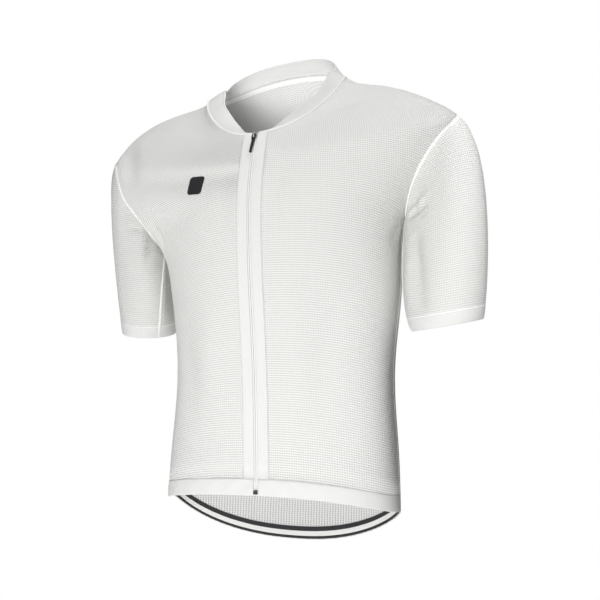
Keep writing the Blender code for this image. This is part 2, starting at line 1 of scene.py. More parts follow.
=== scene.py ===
# Short-sleeved cycling jersey: cloth, seams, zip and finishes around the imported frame.
# Metres, +Z up, front towards -Y, the wearer's left is +X.
import math
import bmesh
import bpy
import numpy as np
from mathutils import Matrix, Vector


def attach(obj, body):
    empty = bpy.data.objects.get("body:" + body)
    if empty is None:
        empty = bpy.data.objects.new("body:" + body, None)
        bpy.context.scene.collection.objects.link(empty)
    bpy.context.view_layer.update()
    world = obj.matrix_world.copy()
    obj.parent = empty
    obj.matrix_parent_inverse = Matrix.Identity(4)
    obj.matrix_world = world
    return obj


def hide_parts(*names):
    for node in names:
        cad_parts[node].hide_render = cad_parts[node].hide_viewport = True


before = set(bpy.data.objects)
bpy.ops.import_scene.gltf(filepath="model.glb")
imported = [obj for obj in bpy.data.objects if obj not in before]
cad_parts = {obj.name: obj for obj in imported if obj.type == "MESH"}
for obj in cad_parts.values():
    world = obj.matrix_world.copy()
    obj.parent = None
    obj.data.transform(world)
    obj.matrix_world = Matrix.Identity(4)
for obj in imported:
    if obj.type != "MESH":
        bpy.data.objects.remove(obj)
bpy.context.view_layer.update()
print("frame loaded")

# the body's level rings, in the same sizes as the solids: side points of the wearer's
# left and right, middle front and middle back, fullness and drop of the left front,
# fullness of the right front, lift of the right back
ringColumns = ("lx", "ly", "lz", "rx", "ry", "rz", "fy", "fz", "by", "bz",
               "leftFull", "leftDrop", "rightFull", "rightLift")
ringTable = np.array([
    (.1700, .0075, -.6140, .1700, .0075, -.6080, -.0698, -.5935, .0720, -.6690,
     .82, 1.6, .90, 1.2),
    (.1690, .0045, -.5265, .1670, .0145, -.5265, -.0736, -.5075, .0820, -.5435,
     .70, 1.6, .90, 1.5),
    (.1685, -.0030, -.4250, .1630, .0235, -.4250, -.0834, -.4012, .0860, -.4275,
     .74, 1.6, .90, 1.6),
    (.1790, .0060, -.3130, .1750, .0262, -.3130, -.0980, -.2950, .1020, -.3135,
     .68, 1.6, .90, 1.6),
    (.1896, .0006, -.2227, .1885, -.0085, -.2382, -.1020, -.2060, .1175, -.2080,
     .72, 1.6, .78, 1.6),
    (.2463, -.0173, -.1379, .2538, -.0260, -.1568, -.0985, -.1720, .1175, -.1320,
     .90, 1.6, .62, 1.6),
    (.2684, -.0263, -.1009, .2580, -.0369, -.0968, -.0945, -.1500, .1025, -.0695,
     .90, 1.6, .84, 1.6),
    (.1922, -.0145, -.0452, .2040, -.0231, -.0405, -.0905, -.1340, .0890, -.0335,
     .90, 1.45, .90, 1.6),
    (.1310, -.0026, -.0190, .1304, -.0058, -.0157, -.0865, -.1190, .0715, .0040,
     .90, 1.25, .90, 1.6),
    (.1091, -.0105, -.0069, .1091, -.0106, -.0068, -.0830, -.1050, .0520, .0425,
     .88, 1.05, .90, 1.6),
])   # hem, hip, waist, ribs, armpit, chest, tip, slope, shoulder, neck
neckRing = 9.0
sidePower, liftPower = .9, 1.6
sideSign = {"left": 1.0, "right": -1.0}
cloth = {"wall": .0011, "gap": .0003, "hemBand": .0210, "gripperBand": .0172,
         "cuffBand": .0170, "coilEdge": .0026, "facingEdge": .0168}

# armhole seams: ring value against the angle of their front and back, in degrees
armhole = {
    "left": {"front": ((4, 90), (4.5, 79.4), (5.1, 73.2), (5.7, 76.6), (6, 90)),
             "back": ((4, 90), (4.5, 97.9), (5.1, 104.3), (5.7, 102.6), (6, 90))},
    "right": {"front": ((4, 90), (4.3, 75.5), (4.6, 70), (5, 62.5), (5.4, 61.5), (5.7, 65.5),
                        (5.88, 74), (6, 90)),
              "back": ((4, 90), (4.5, 106), (5.1, 102.2), (5.7, 105), (6, 90))},
}
sleeveSizes = {
    "left": {"middle": (.2430, -.0167, -.3771), "across": .0455, "deep": .0435,
             "turn": -.011, "riseOut": .125, "riseFront": -.1785,
             "leaveTip": (.134, .005, -.104), "leaveFront": (.060, -.020, -.1508),
             "leaveArmpit": (-.020, -.030, -.172), "leaveBack": (.0608, .0301, -.1514),
             "arrive": .0773, "narrow": .035, "hug": 0},
    "right": {"middle": (.2251, .0119, -.3626), "across": .0418, "deep": .0425,
              "turn": .44, "riseOut": .277, "riseFront": -.210,
              "leaveTip": (.100, .0201, -.100), "leaveFront": (.070, -.010, -.140),
              "leaveArmpit": (-.055, -.070, -.1581), "leaveBack": (-.010, .0331, -.1462),
              "arrive": .0916, "narrow": .012, "hug": .5},
}
# collar: angle from the middle front, height, lean and rise for each metre of height
collarTable = np.array([
    (3, .0035, .84, .54), (10, .0120, .84, .54), (15, .0188, .71, .71),
    (20, .0242, .64, .77), (30, .0317, .61, .79), (45, .0345, .62, .78),
    (55, .0343, .72, .69), (65, .0333, .82, .57), (85, .0280, .88, .48),
    (120, .0240, .62, .78), (150, .0245, .30, .95), (180, .0240, .20, .98),
])


def unit(vectors):
    return vectors / np.maximum(np.linalg.norm(vectors, axis=-1, keepdims=True), 1e-12)


def smoothThrough(knots, values, at):
    # natural cubic through the rows of values, one row for each knot
    knots = np.asarray(knots, float)
    values = np.asarray(values, float).reshape(len(knots), -1)
    count, steps = len(knots), np.diff(knots)
    system, right = np.zeros((count, count)), np.zeros((count, values.shape[1]))
    system[0, 0] = system[-1, -1] = 1.0
    for i in range(1, count - 1):
        system[i, i - 1:i + 2] = steps[i - 1], 2 * (steps[i - 1] + steps[i]), steps[i]
        right[i] = 6 * ((values[i + 1] - values[i]) / steps[i]
                        - (values[i] - values[i - 1]) / steps[i - 1])
    bend = np.linalg.solve(system, right)
    at = np.ravel(np.asarray(at, float))
    k = np.clip(np.searchsorted(knots, at) - 1, 0, count - 2)
    a, b, h = (knots[k + 1] - at)[:, None], (at - knots[k])[:, None], steps[k][:, None]
    return (bend[k] * a ** 3 + bend[k + 1] * b ** 3) / (6 * h) \
        + (values[k] / h - bend[k] * h / 6) * a + (values[k + 1] / h - bend[k + 1] * h / 6) * b


def bodyPoint(ring, angle):
    # x is the side width times sine to the .9; y and z run from the side point to the
    # middle one with cosine to a power. Behind they are .9 and 1.6; in front they are the
    # ring's own fullness and drop, and the right back has its own lift. Angle 0 is the
    # middle front
    ring, angle = np.broadcast_arrays(np.asarray(ring, float), np.asarray(angle, float))
    table = smoothThrough(np.arange(len(ringTable)), ringTable, ring)
    size = {name: table[:, i].reshape(ring.shape) for i, name in enumerate(ringColumns)}
    sine, cosine = np.sin(angle), np.cos(angle)
    side = [np.where(sine >= 0, size["l" + axis], size["r" + axis]) for axis in "xyz"]
    midY = np.where(cosine >= 0, size["fy"], size["by"])
    midZ = np.where(cosine >= 0, size["fz"], size["bz"])
    left, front = sine >= 0, cosine >= 0
    power = np.where(front, np.where(left, size["leftFull"], size["rightFull"]), sidePower)
    lift = np.where(front, np.where(left, size["leftDrop"], liftPower),
                    np.where(left, liftPower, size["rightLift"]))
    return np.stack([np.sign(sine) * side[0] * np.abs(sine) ** sidePower,
                     side[1] + (midY - side[1]) * np.abs(cosine) ** power,
                     side[2] + (midZ - side[2]) * np.abs(cosine) ** lift], -1)


def bodyNormal(ring, angle, step=.004):
    return unit(np.cross(bodyPoint(ring, angle + step) - bodyPoint(ring, angle - step),
                         bodyPoint(ring + step, angle) - bodyPoint(ring - step, angle)))


def armholeAngle(side, face, ring):
    knots = np.array(armhole[side][face])
    inside = (ring > 4) & (ring < 6)
    curve = smoothThrough(knots[:, 0], knots[:, 1], np.clip(ring, 4, 6))
    return np.radians(np.where(inside, curve.reshape(np.shape(ring)), 90.0))


def angleAtWidth(ring, x, side):
    # angle at which the body lies x from the middle plane
    ring, x = np.broadcast_arrays(np.asarray(ring, float), np.asarray(x, float))
    table = smoothThrough(np.arange(len(ringTable)), ringTable, ring)
    wide = table[:, 0 if side == "left" else 3].reshape(ring.shape)
    return np.arcsin((x / wide) ** (1 / sidePower))


def ringAtHeight(angle, length):
    # ring value that lies the given length of cloth above the hem
    angle = np.ravel(angle)
    rings = np.linspace(0, 1.2, 97)[:, None]
    steps = np.linalg.norm(np.diff(bodyPoint(rings, angle[None, :]), axis=0), axis=-1)
    run = np.vstack([np.zeros((1, angle.size)), np.cumsum(steps, axis=0)])
    return np.array([np.interp(length, run[:, i], rings[:, 0]) for i in range(angle.size)])


def armholeRing(side, phi):
    # ring and angle of the armhole seam; phi 0 is its tip, half a turn its armpit
    phi = np.mod(phi, 2 * np.pi)
    overFront = phi <= np.pi
    ring = np.where(overFront, 6 - 2 * phi / np.pi, 2 + 2 * phi / np.pi)
    return ring, np.where(overFront, armholeAngle(side, "front", ring),
                          armholeAngle(side, "back", ring))


def sleeveEnds(side, phi):
    # start, leaving direction, end and arriving direction of the sleeve's cubics, for
    # the wearer's left; hug turns the leaving direction towards the body's surface
    mirror, s = [sideSign[side], 1, 1], sleeveSizes[side]
    ring, angle = armholeRing(side, phi)
    start = bodyPoint(ring, sideSign[side] * angle) * mirror
    out = unit(np.array([math.cos(s["turn"]), math.sin(s["turn"]), s["riseOut"]]))
    ahead = unit(np.array([math.sin(s["turn"]), -math.cos(s["turn"]), s["riseFront"]]))
    cosine, sine = np.cos(phi)[..., None], np.sin(phi)[..., None]
    end = np.array(s["middle"]) + s["across"] * cosine * out + s["deep"] * sine * ahead
    down = unit(np.cross(out, ahead))
    down = -down if down[2] > 0 else down
    leave = (cosine ** 2 * (cosine > 0)) * np.array(s["leaveTip"]) \
        + (cosine ** 2 * (cosine <= 0)) * np.array(s["leaveArmpit"]) \
        + (sine ** 2 * (sine > 0)) * np.array(s["leaveFront"]) \
        + (sine ** 2 * (sine <= 0)) * np.array(s["leaveBack"])
    length = np.linalg.norm(leave, axis=-1, keepdims=True)
    normal = bodyNormal(ring, sideSign[side] * angle) * mirror
    share = np.clip((cosine + .7) / 1.2, 0, 1)
    share = s["hug"] * share * share * (3 - 2 * share)
    leave = unit(leave - normal * np.sum(leave * normal, -1, keepdims=True) * share) * length
    return start, leave, end, down * s["arrive"] - (cosine * out + sine * ahead) * s["narrow"]


def sleevePoint(side, phi, t):
    # cubic from the armhole (t 0) to the end ring (t 1), leaving each in its own direction
    phi, t = np.broadcast_arrays(np.asarray(phi, float), np.asarray(t, float))
    turns, back = np.unique(phi, return_inverse=True)
    start, leave, end, arrive = [part[back.ravel()].reshape(phi.shape + (3,))
                                 for part in sleeveEnds(side, turns)]
    t = t[..., None]
    point = (2 * t ** 3 - 3 * t ** 2 + 1) * start + (t ** 3 - 2 * t ** 2 + t) * leave \
        + (3 * t ** 2 - 2 * t ** 3) * end + (t ** 3 - t ** 2) * arrive
    return point * [sideSign[side], 1, 1]


def sleeveNormal(side, phi, t, step=.01):
    low, high = np.clip(t - step, 0, 1), np.clip(t + step, 0, 1)
    return unit(np.cross(sleevePoint(side, phi + step, t) - sleevePoint(side, phi - step, t),
                         sleevePoint(side, phi, high) - sleevePoint(side, phi, low))) \
        * sideSign[side]


def sharedNormal(own, other):
    # mitre direction of two pieces at their seam, own direction on a sharp fold
    weight = np.clip(np.sum(own * other, -1, keepdims=True) / .5, 0, 1)
    weight = weight * weight * (3 - 2 * weight)
    return unit(own * (1 - weight) + unit(own + other + 1e-9) * weight)


def collarFrame(angles):
    # foot of the collar, its rising direction, its height and its outward normal
    angles = np.ravel(angles)
    table = np.vstack([collarTable,
                       (collarTable[:-1] * [-1, 1, 1, 1] + [360, 0, 0, 0])[::-1]])
    height, lean, rise = smoothThrough(np.radians(table[:, 0]), table[:, 1:],
                                       np.mod(angles, 2 * np.pi)).T
    neck = np.full(len(angles), neckRing)
    ahead = bodyPoint(neck, angles + .01) - bodyPoint(neck, angles - .01)
    outward = unit(np.cross(ahead, [0, 0, 1]) * [1, 1, 0])
    reach = unit(-outward * lean[:, None] + rise[:, None] * np.array([0, 0, 1]))
    return bodyPoint(neck, angles), reach, height, unit(np.cross(ahead, reach))


# cloth lengths along the rings and up the body, for patterns that follow the cloth
def lengthTable():
    # distance round from the middle front and up from the waist, summed on a fine grid
    rings, angles = np.linspace(0, 9, 181), np.linspace(0, 2 * np.pi, 361)
    points = bodyPoint(rings[:, None], angles[None, :])
    around = np.zeros(points.shape[:2])
    around[:, 1:] = np.cumsum(np.linalg.norm(np.diff(points, axis=1), axis=-1), axis=1)
    upward = np.zeros(points.shape[:2])
    upward[1:] = np.cumsum(np.linalg.norm(np.diff(points, axis=0), axis=-1), axis=0)
    return around, upward - upward[40]


aroundTable, upTable = lengthTable()


def bodyPattern(ring, angle):
    # pattern coordinates in metres of cloth: round the body and up it
    a = np.mod(angle, 2 * np.pi) / (2 * np.pi) * 360
    r = np.clip(ring, 0, 9) * 20
    i, j = np.clip(r.astype(int), 0, 179), np.clip(a.astype(int), 0, 359)
    u, v = r - i, a - j
    look = lambda table: ((table[i, j] * (1 - v) + table[i, j + 1] * v) * (1 - u)
                          + (table[i + 1, j] * (1 - v) + table[i + 1, j + 1] * v) * u)
    return np.stack([look(aroundTable), look(upTable)], -1)


# creases of the torso: ring and angle at the start, bend and end, half width, depth
# (below nought for a ridge)
torsoCreases = (
    # under the wearer's right chest, at the right armpit and the right shoulder
    ((4.35, -72), (4.10, -50), (4.00, -22), .024, .0050),
    ((4.22, -65), (4.05, -63), (3.70, -62), .006, .0030),
    ((6.30, -76), (6.10, -56), (5.10, -45), .014, .0048),
    # the same on the left, partly behind the sleeve
    ((3.90, 88), (3.70, 82), (3.40, 76), .008, .0018),
    ((6.35, 78), (6.10, 62), (5.40, 52), .016, .0016),
    # soft hollows beside the zip on the chest, soft swells on the belly
    ((5.70, 7), (4.40, 9), (2.90, 12), .012, .0026),
    ((5.60, -6), (4.40, -9), (3.20, -12), .012, .0018),
    ((2.90, 17), (2.10, 18), (1.20, 16), .020, -.0024),
    ((2.70, 37), (2.00, 33), (1.10, 29), .018, .0022),
    ((2.80, -20), (2.00, -24), (1.20, -20), .020, -.0018),
    ((2.60, -42), (1.90, -40), (1.00, -36), .018, .0018),
    ((.55, 22), (.75, 34), (1.10, 50), .010, .0012),
    # edges of the yoke
    ((8.30, 40), (7.60, 58), (6.70, 80), .012, .0022),
    ((8.30, -40), (7.60, -58), (6.70, -80), .012, .0014),
    # back: from both armpits, over the shoulder blades and across the waist
    ((3.90, 96), (3.30, 118), (2.80, 136), .013, .0030),
    ((3.85, 94), (3.00, 105), (2.30, 120), .012, .0022),
    ((3.85, 264), (3.30, 240), (2.80, 222), .013, .0030),
    ((3.80, 266), (2.90, 254), (2.20, 240), .011, .0020),
    ((5.50, 103), (5.80, 112), (6.10, 124), .016, .0026),
    ((5.50, 257), (5.85, 248), (6.15, 236), .016, .0026),
    ((2.20, 150), (2.00, 180), (2.15, 212), .020, .0022),
    ((1.70, 160), (1.55, 185), (1.60, 205), .016, .0016),
)
# creases of the sleeves: turn in degrees and share of the length, as above
sleeveCreases = {
    "left": (((165, .06), (146, .13), (120, .15), .012, .0036),
             ((163, .12), (140, .195), (119, .222), .0042, -.0036),
             ((157, .15), (143, .192), (131, .214), .0042, .0048),
             ((160, .155), (139, .235), (115, .28), .0058, .0050),
             ((137, .29), (124, .308), (112, .32), .0050, .0018),
             ((141, .34), (130, .52), (117, .88), .0100, .0046),
             ((152, .40), (150, .60), (141, .85), .0080, -.0020),
             ((196, .05), (208, .16), (222, .30), .009, .0024),
             ((204, .04), (224, .10), (244, .16), .008, .0020),
             ((230, .40), (236, .65), (240, .90), .012, .0018)),
    "right": (((166, .05), (160, .20), (150, .44), .009, .0030),
              ((150, .04), (138, .10), (124, .16), .007, .0020),
              ((96, .30), (104, .52), (110, .82), .014, .0018),
              ((198, .05), (210, .18), (222, .32), .010, .0026),
              ((206, .04), (226, .12), (246, .18), .008, .0020),
              ((232, .40), (238, .65), (240, .90), .012, .0018)),
}


def creaseDepth(points, paths):
    # sum over the creases of depth times a bell of the distance to the path, soft at
    # both ends: depth * exp(-(distance / width)^2) * sin(pi * share)^0.8
    flat = points.reshape(-1, 3)
    depth = np.zeros(len(flat))
    for path, width, deep in paths:
        near = np.where((flat > path.min(0) - 3 * width).all(1)
                        & (flat < path.max(0) + 3 * width).all(1))[0]
        if not len(near):
            continue
        away = np.linalg.norm(flat[near, None, :] - path[None, :, :], axis=-1)
        nearest = away.argmin(1)
        share = np.clip(nearest / (len(path) - 1), .03, .97)
        depth[near] += deep * np.exp(-(away.min(1) / width) ** 2) * np.sin(np.pi * share) ** .8
    return depth.reshape(points.shape[:-1])


def bentPath(start, bend, end, count=28):
    s = np.linspace(0, 1, count)[:, None]
    return (1 - s) ** 2 * np.array(start) + 2 * s * (1 - s) * (
        2 * np.array(bend) - (np.array(start) + np.array(end)) / 2) \
        + s ** 2 * np.array(end)


torsoPaths = []
for start, bend, end, width, deep in torsoCreases:
    way = bentPath(start, bend, end)
    torsoPaths.append((bodyPoint(way[:, 0], np.radians(way[:, 1])), width, deep))
sleevePaths = {}
for side, rows in sleeveCreases.items():
    sleevePaths[side] = []
    for start, bend, end, width, deep in rows:
        way = bentPath(start, bend, end)
        sleevePaths[side].append((sleevePoint(side, np.radians(way[:, 0]), way[:, 1]),
                                  width, deep))


def creasedTorso(points, normals):
    return points - normals * creaseDepth(points, torsoPaths)[..., None]


def edgeFade(t, low=.0, reach=.06):
    x = np.clip((t - low) / reach, 0, 1)
    return x * x * (3 - 2 * x)


# cloth shells, swept tubes and rows of stitches
def meshObject(name, vertices, faces, material, smooth=True, uvs=None):
    mesh = bpy.data.meshes.new(name)
    mesh.from_pydata(np.asarray(vertices).tolist(), [], faces)
    mesh.polygons.foreach_set("use_smooth",
                              np.broadcast_to(smooth, len(faces)).astype(bool))
    if uvs is not None:
        layer = mesh.uv_layers.new(name="pattern")
        layer.data.foreach_set("uv", np.asarray(uvs, np.float32).ravel())
    mesh.materials.append(material)
    mesh.update()
    item = bpy.data.objects.new(name, mesh)
    bpy.context.scene.collection.objects.link(item)
    return item


def clothShell(name, outer, normals, thick, pattern, material, closed=False, round=(0, 0)):
    # outer face, a half round over the last row, inner face back again and a half round
    # over the first row make one loop of rows; each column of the loop meets the next
    inner = outer - normals * thick

    def roundEnd(row, near, steps):
        middle = (outer[row] + inner[row]) / 2
        ahead = outer[row] - outer[near]
        ahead = unit(ahead - normals[row] * np.sum(ahead * normals[row], -1, keepdims=True))
        turn = np.linspace(0, np.pi, steps + 2)[1:-1][:, None, None]
        return middle + (normals[row] * np.cos(turn) + ahead * np.sin(turn)) * thick / 2

    rows, columns = outer.shape[:2]
    top, low = roundEnd(-1, -2, round[1]), roundEnd(0, 1, round[0])[::-1]
    loop = np.concatenate([outer, top, inner[::-1], low])
    pattern = np.concatenate([pattern, np.repeat(pattern[-1:], round[1], 0), pattern[::-1],
                              np.repeat(pattern[:1], round[0], 0)])
    total, wide = len(loop), columns + (1 if closed else 0)
    i, j = np.meshgrid(np.arange(total), np.arange(wide - 1), indexing="ij")
    k = (i + 1) % total
    corners = np.stack([i * wide + j, i * wide + j + 1, k * wide + j + 1, k * wide + j], -1)
    middle = rows // 2, columns // 2
    spread = np.cross(outer[middle[0], middle[1]] - outer[middle[0], middle[1] - 1],
                      outer[middle[0], middle[1]] - outer[middle[0] - 1, middle[1]])
    flipped = np.dot(spread, normals[middle]) < 0
    if flipped:
        corners = corners[..., ::-1]
    quads = corners.reshape(-1, 4)
    flat = np.zeros((total, wide - 1), bool)
    if not round[1]:
        flat[rows - 1] = True
    if not round[0]:
        flat[-1] = True
    faces, smooth = quads.tolist(), (~flat).ravel().tolist()
    if not closed:
        back = rows + round[1] + rows - 1
        for column, turned in ((0, False), (columns - 1, True)):
            ends = [[r, r + 1, back - r - 1, back - r] for r in range(rows - 1)]
            if round[1]:
                ends.append(list(range(rows - 1, rows + round[1] + 1)))
            if round[0]:
                ends.append([0] + list(range(total - 1, back - 1, -1)))
            for ring in ends:
                ring = [r * wide + column for r in ring]
                faces.append(ring[::-1] if turned != flipped else ring)
                smooth.append(False)
    spots = np.array([c for face in faces for c in face])
    row, column = spots // wide, spots % wide
    vertices = loop.reshape(-1, 3)
    faces = [[c // wide * columns + c % wide % columns for c in face] for face in faces]
    spans = np.linalg.norm(np.cross(outer[1:, 1:] - outer[:-1, :-1],
                                    outer[1:, :-1] - outer[:-1, 1:]), axis=-1) / 2
    print(f"{name}: {spans.sum():.4f} square metres of cloth")
    return meshObject(name, vertices, faces, material, smooth, pattern[row, column])


def gridTube(name, path, sideways, upwards, profile, material, closed=False, pattern=1.0):
    # a closed profile carried along a path: point + sideways * a + upwards * b;
    # profile is one ring for all stations or a ring for each
    profile = np.asarray(profile, float)
    if profile.ndim == 2:
        profile = np.broadcast_to(profile, (len(path),) + profile.shape)
    points = path[:, None] + sideways[:, None] * profile[..., :1] \
        + upwards[:, None] * profile[..., 1:]
    stations, spokes = points.shape[:2]
    run = np.concatenate([[0], np.cumsum(np.linalg.norm(np.diff(path, axis=0), axis=-1))])
    last = stations if closed else stations - 1
    i, j = np.meshgrid(np.arange(last), np.arange(spokes), indexing="ij")
    k, m = (i + 1) % stations, (j + 1) % spokes
    faces = np.stack([i * spokes + j, i * spokes + m, k * spokes + m, k * spokes + j],
                     -1).reshape(-1, 4)
    step = np.linalg.norm(np.diff(profile[0], axis=0), axis=-1)
    girth = np.concatenate([[0], np.cumsum(step), [step.sum() * 1.1]])
    runs = np.append(run, run[-1] + np.linalg.norm(path[0] - path[-1]))
    uvs = np.stack([np.stack([girth[j], runs[i]], -1), np.stack([girth[j + 1], runs[i]], -1),
                    np.stack([girth[j + 1], runs[i + 1]], -1),
                    np.stack([girth[j], runs[i + 1]], -1)], -2).reshape(-1, 2) * pattern
    faces = faces.tolist()
    if not closed:
        faces += [list(range(spokes))[::-1],
                  [(stations - 1) * spokes + s for s in range(spokes)]]
        uvs = np.vstack([uvs, np.stack([girth[:spokes][::-1], np.full(spokes, run[0])], -1),
                         np.stack([girth[:spokes], np.full(spokes, run[-1])], -1)])
    middle = stations // 2
    ahead = path[middle] - path[middle - 1]
    area = np.sum(profile[0][:, 0] * np.roll(profile[0][:, 1], -1)
                  - np.roll(profile[0][:, 0], -1) * profile[0][:, 1])
    handed = np.dot(np.cross(sideways[middle], upwards[middle]), ahead) * area
    if handed < 0:
        faces = [face[::-1] for face in faces]
        starts = np.cumsum([0] + [len(face) for face in faces])
        uvs = np.concatenate([uvs[a:b][::-1] for a, b in zip(starts[:-1], starts[1:])])
    return meshObject(name, points.reshape(-1, 3), faces, material, True, uvs)


def thread(name, places, ahead, upwards, length, radius, material, spokes=6, rings=5):
    # one short stitch for each place: a thin barrel along ahead, arched over the cloth
    turn = np.linspace(0, 2 * np.pi, spokes, endpoint=False)
    share = np.linspace(-1, 1, rings)
    fat = np.sqrt(np.maximum(1 - share ** 4 * .9, .05))
    arch = (1 - share ** 2) * radius * .5
    sideways = unit(np.cross(ahead, upwards))
    ring = (ahead[:, None, None] * (share * length / 2)[None, :, None, None]
            + sideways[:, None, None] * (np.cos(turn)[None, :] * fat[:, None]
                                         * radius)[None, ..., None]
            + upwards[:, None, None] * (np.sin(turn)[None, :] * fat[:, None] * radius * .8
                                        + arch[:, None])[None, ..., None])
    points = places[:, None, None] + ring
    each = rings * spokes
    i, j = np.meshgrid(np.arange(rings - 1), np.arange(spokes), indexing="ij")
    m = (j + 1) % spokes
    one = np.stack([i * spokes + j, (i + 1) * spokes + j, (i + 1) * spokes + m,
                    i * spokes + m], -1).reshape(-1, 4)
    faces = (one[None] + (np.arange(len(places)) * each)[:, None, None]).reshape(-1, 4).tolist()
    start = np.arange(len(places)) * each
    caps = np.arange(spokes)
    faces += (start[:, None] + caps[None, :]).tolist()
    faces += (start[:, None] + each - 1 - caps[None, :]).tolist()
    handed = np.dot(np.cross(sideways[0], upwards[0]), ahead[0])
    if handed < 0:
        faces = [face[::-1] for face in faces]
    return meshObject(name, points.reshape(-1, 3), faces, material)


def evenly(path, normals, pitch, closed=False):
    # places at equal steps along a path, with the direction ahead and the normal there
    if closed:
        path, normals = np.vstack([path, path[:1]]), np.vstack([normals, normals[:1]])
    run = np.concatenate([[0], np.cumsum(np.linalg.norm(np.diff(path, axis=0), axis=-1))])
    count = max(2, int(run[-1] / pitch))
    at = (np.arange(count) + .5) * run[-1] / count
    inter = lambda rows: np.stack([np.interp(at, run, rows[:, c]) for c in range(3)], -1)
    here, up = inter(path), unit(inter(normals))
    ahead = unit(np.gradient(here, axis=0))
    return here, unit(ahead - up * np.sum(ahead * up, -1, keepdims=True)), up


def dressed(item, slot, body, *nodes):
    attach(item, body)
    if nodes:
        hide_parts(*nodes)
    return item


# finishes
class Paint:
    # a Principled material and short calls for the nodes in front of it
    def __init__(self, name, colour, rough, metal=0.0, sheen=0.0, specular=.5):
        self.material = bpy.data.materials.new(name)
        self.material.use_nodes = True
        self.tree = self.material.node_tree
        self.shader = self.tree.nodes["Principled BSDF"]
        self.shader.inputs["Base Color"].default_value = (*colour, 1)
        self.shader.inputs["Roughness"].default_value = rough
        self.shader.inputs["Metallic"].default_value = metal
        self.shader.inputs["Sheen Weight"].default_value = sheen
        self.shader.inputs["Sheen Roughness"].default_value = .6
        self.shader.inputs["Specular IOR Level"].default_value = specular

    def put(self, socket, value):
        if isinstance(value, bpy.types.NodeSocket):
            self.tree.links.new(value, socket)
        else:
            socket.default_value = value

    def math(self, kind, a, b=0.0, c=0.0):
        node = self.tree.nodes.new("ShaderNodeMath")
        node.operation = kind
        for socket, value in zip(node.inputs, (a, b, c)):
            self.put(socket, value)
        return node.outputs[0]

    def pattern(self):
        node = self.tree.nodes.new("ShaderNodeUVMap")
        node.uv_map = "pattern"
        split = self.tree.nodes.new("ShaderNodeSeparateXYZ")
        self.put(split.inputs[0], node.outputs[0])
        return split.outputs[0], split.outputs[1]

    def place(self):
        return self.tree.nodes.new("ShaderNodeTexCoord").outputs["Object"]

    def noise(self, where, scale, detail=2.0):
        node = self.tree.nodes.new("ShaderNodeTexNoise")
        self.put(node.inputs["Vector"], where)
        node.inputs["Scale"].default_value = scale
        node.inputs["Detail"].default_value = detail
        return node.outputs[0]

    def wave(self, along, pitch, phase=0.0):
        # half plus half the cosine of the place over the pitch
        turn = self.math("MULTIPLY_ADD", along, 2 * math.pi / pitch, phase)
        return self.math("MULTIPLY_ADD", self.math("COSINE", turn), .5, .5)

    def mapped(self, value, low, high, toLow=0.0, toHigh=1.0, kind="SMOOTHSTEP"):
        node = self.tree.nodes.new("ShaderNodeMapRange")
        node.interpolation_type = kind
        for socket, entry in zip(node.inputs, (value, low, high, toLow, toHigh)):
            self.put(socket, entry)
        return node.outputs[0]

    def mixed(self, share, first, second):
        node = self.tree.nodes.new("ShaderNodeMix")
        node.data_type = "RGBA"
        self.put(node.inputs["Factor"], share)
        for name, value in (("A", first), ("B", second)):
            socket = [s for s in node.inputs if s.name == name and s.type == "RGBA"][0]
            self.put(socket, (*value, 1) if isinstance(value, tuple) else value)
        return [s for s in node.outputs if s.type == "RGBA"][0]

    def relief(self, height, distance, strength=1.0):
        node = self.tree.nodes.new("ShaderNodeBump")
        node.inputs["Distance"].default_value = distance
        node.inputs["Strength"].default_value = strength
        self.put(node.inputs["Height"], height)
        self.put(self.shader.inputs["Normal"], node.outputs[0])

    def colour(self, value):
        self.put(self.shader.inputs["Base Color"], value)


knit = {"rowPitch": .0030, "columnPitch": .0031, "light": (.85, .85, .83),
        "dark": (.42, .42, .405), "relief": .0006}


def knitPaint(name, light, dark, rowShare, columnShare, holeShare,
              columnPitch=knit["columnPitch"]):
    # rows and columns of loops with a small open hole at each crossing: the hole is where
    # the row wave and the column wave are both high
    paint = Paint(name, light, .88, sheen=.15, specular=.25)
    u, v = paint.pattern()
    rows = paint.wave(v, knit["rowPitch"])
    columns = paint.wave(u, columnPitch)
    hole = paint.mapped(paint.math("MULTIPLY", rows, columns), .30, .80)
    groove = paint.math("MULTIPLY_ADD", paint.mapped(rows, .35, 1.0), rowShare,
                        paint.math("MULTIPLY", paint.mapped(columns, .45, 1.0), columnShare))
    uneven = paint.mapped(paint.noise(paint.place(), 900.0, 3.0), .3, .7, -.08, .08, "LINEAR")
    shade = paint.math("MULTIPLY_ADD", hole, holeShare, groove)
    shade = paint.math("MAXIMUM", paint.math("ADD", shade, uneven), 0.0)
    paint.colour(paint.mixed(shade, light, dark))
    fibre = paint.noise(paint.place(), 2600.0, 2.0)
    height = paint.math("MULTIPLY_ADD", fibre, .12, paint.math("MULTIPLY", shade, -1.0))
    paint.relief(height, knit["relief"])
    return paint.material


def bandPaint(name, light, dark, pitch=.0009, contrast=.35):
    # plain close knit: narrow ribs crossed by finer rows
    paint = Paint(name, light, .82, sheen=.15, specular=.3)
    u, v = paint.pattern()
    ribs = paint.wave(u, pitch)
    rows = paint.wave(v, pitch * .8)
    weave = paint.math("MULTIPLY_ADD", ribs, .6, paint.math("MULTIPLY", rows, .4))
    uneven = paint.mapped(paint.noise(paint.place(), 400.0, 3.0), .3, .7, -.12, .12, "LINEAR")
    shade = paint.math("MAXIMUM", paint.math("MULTIPLY_ADD", weave, contrast, uneven), 0.0)
    paint.colour(paint.mixed(shade, light, dark))
    paint.relief(weave, .00015, .6)
    return paint.material


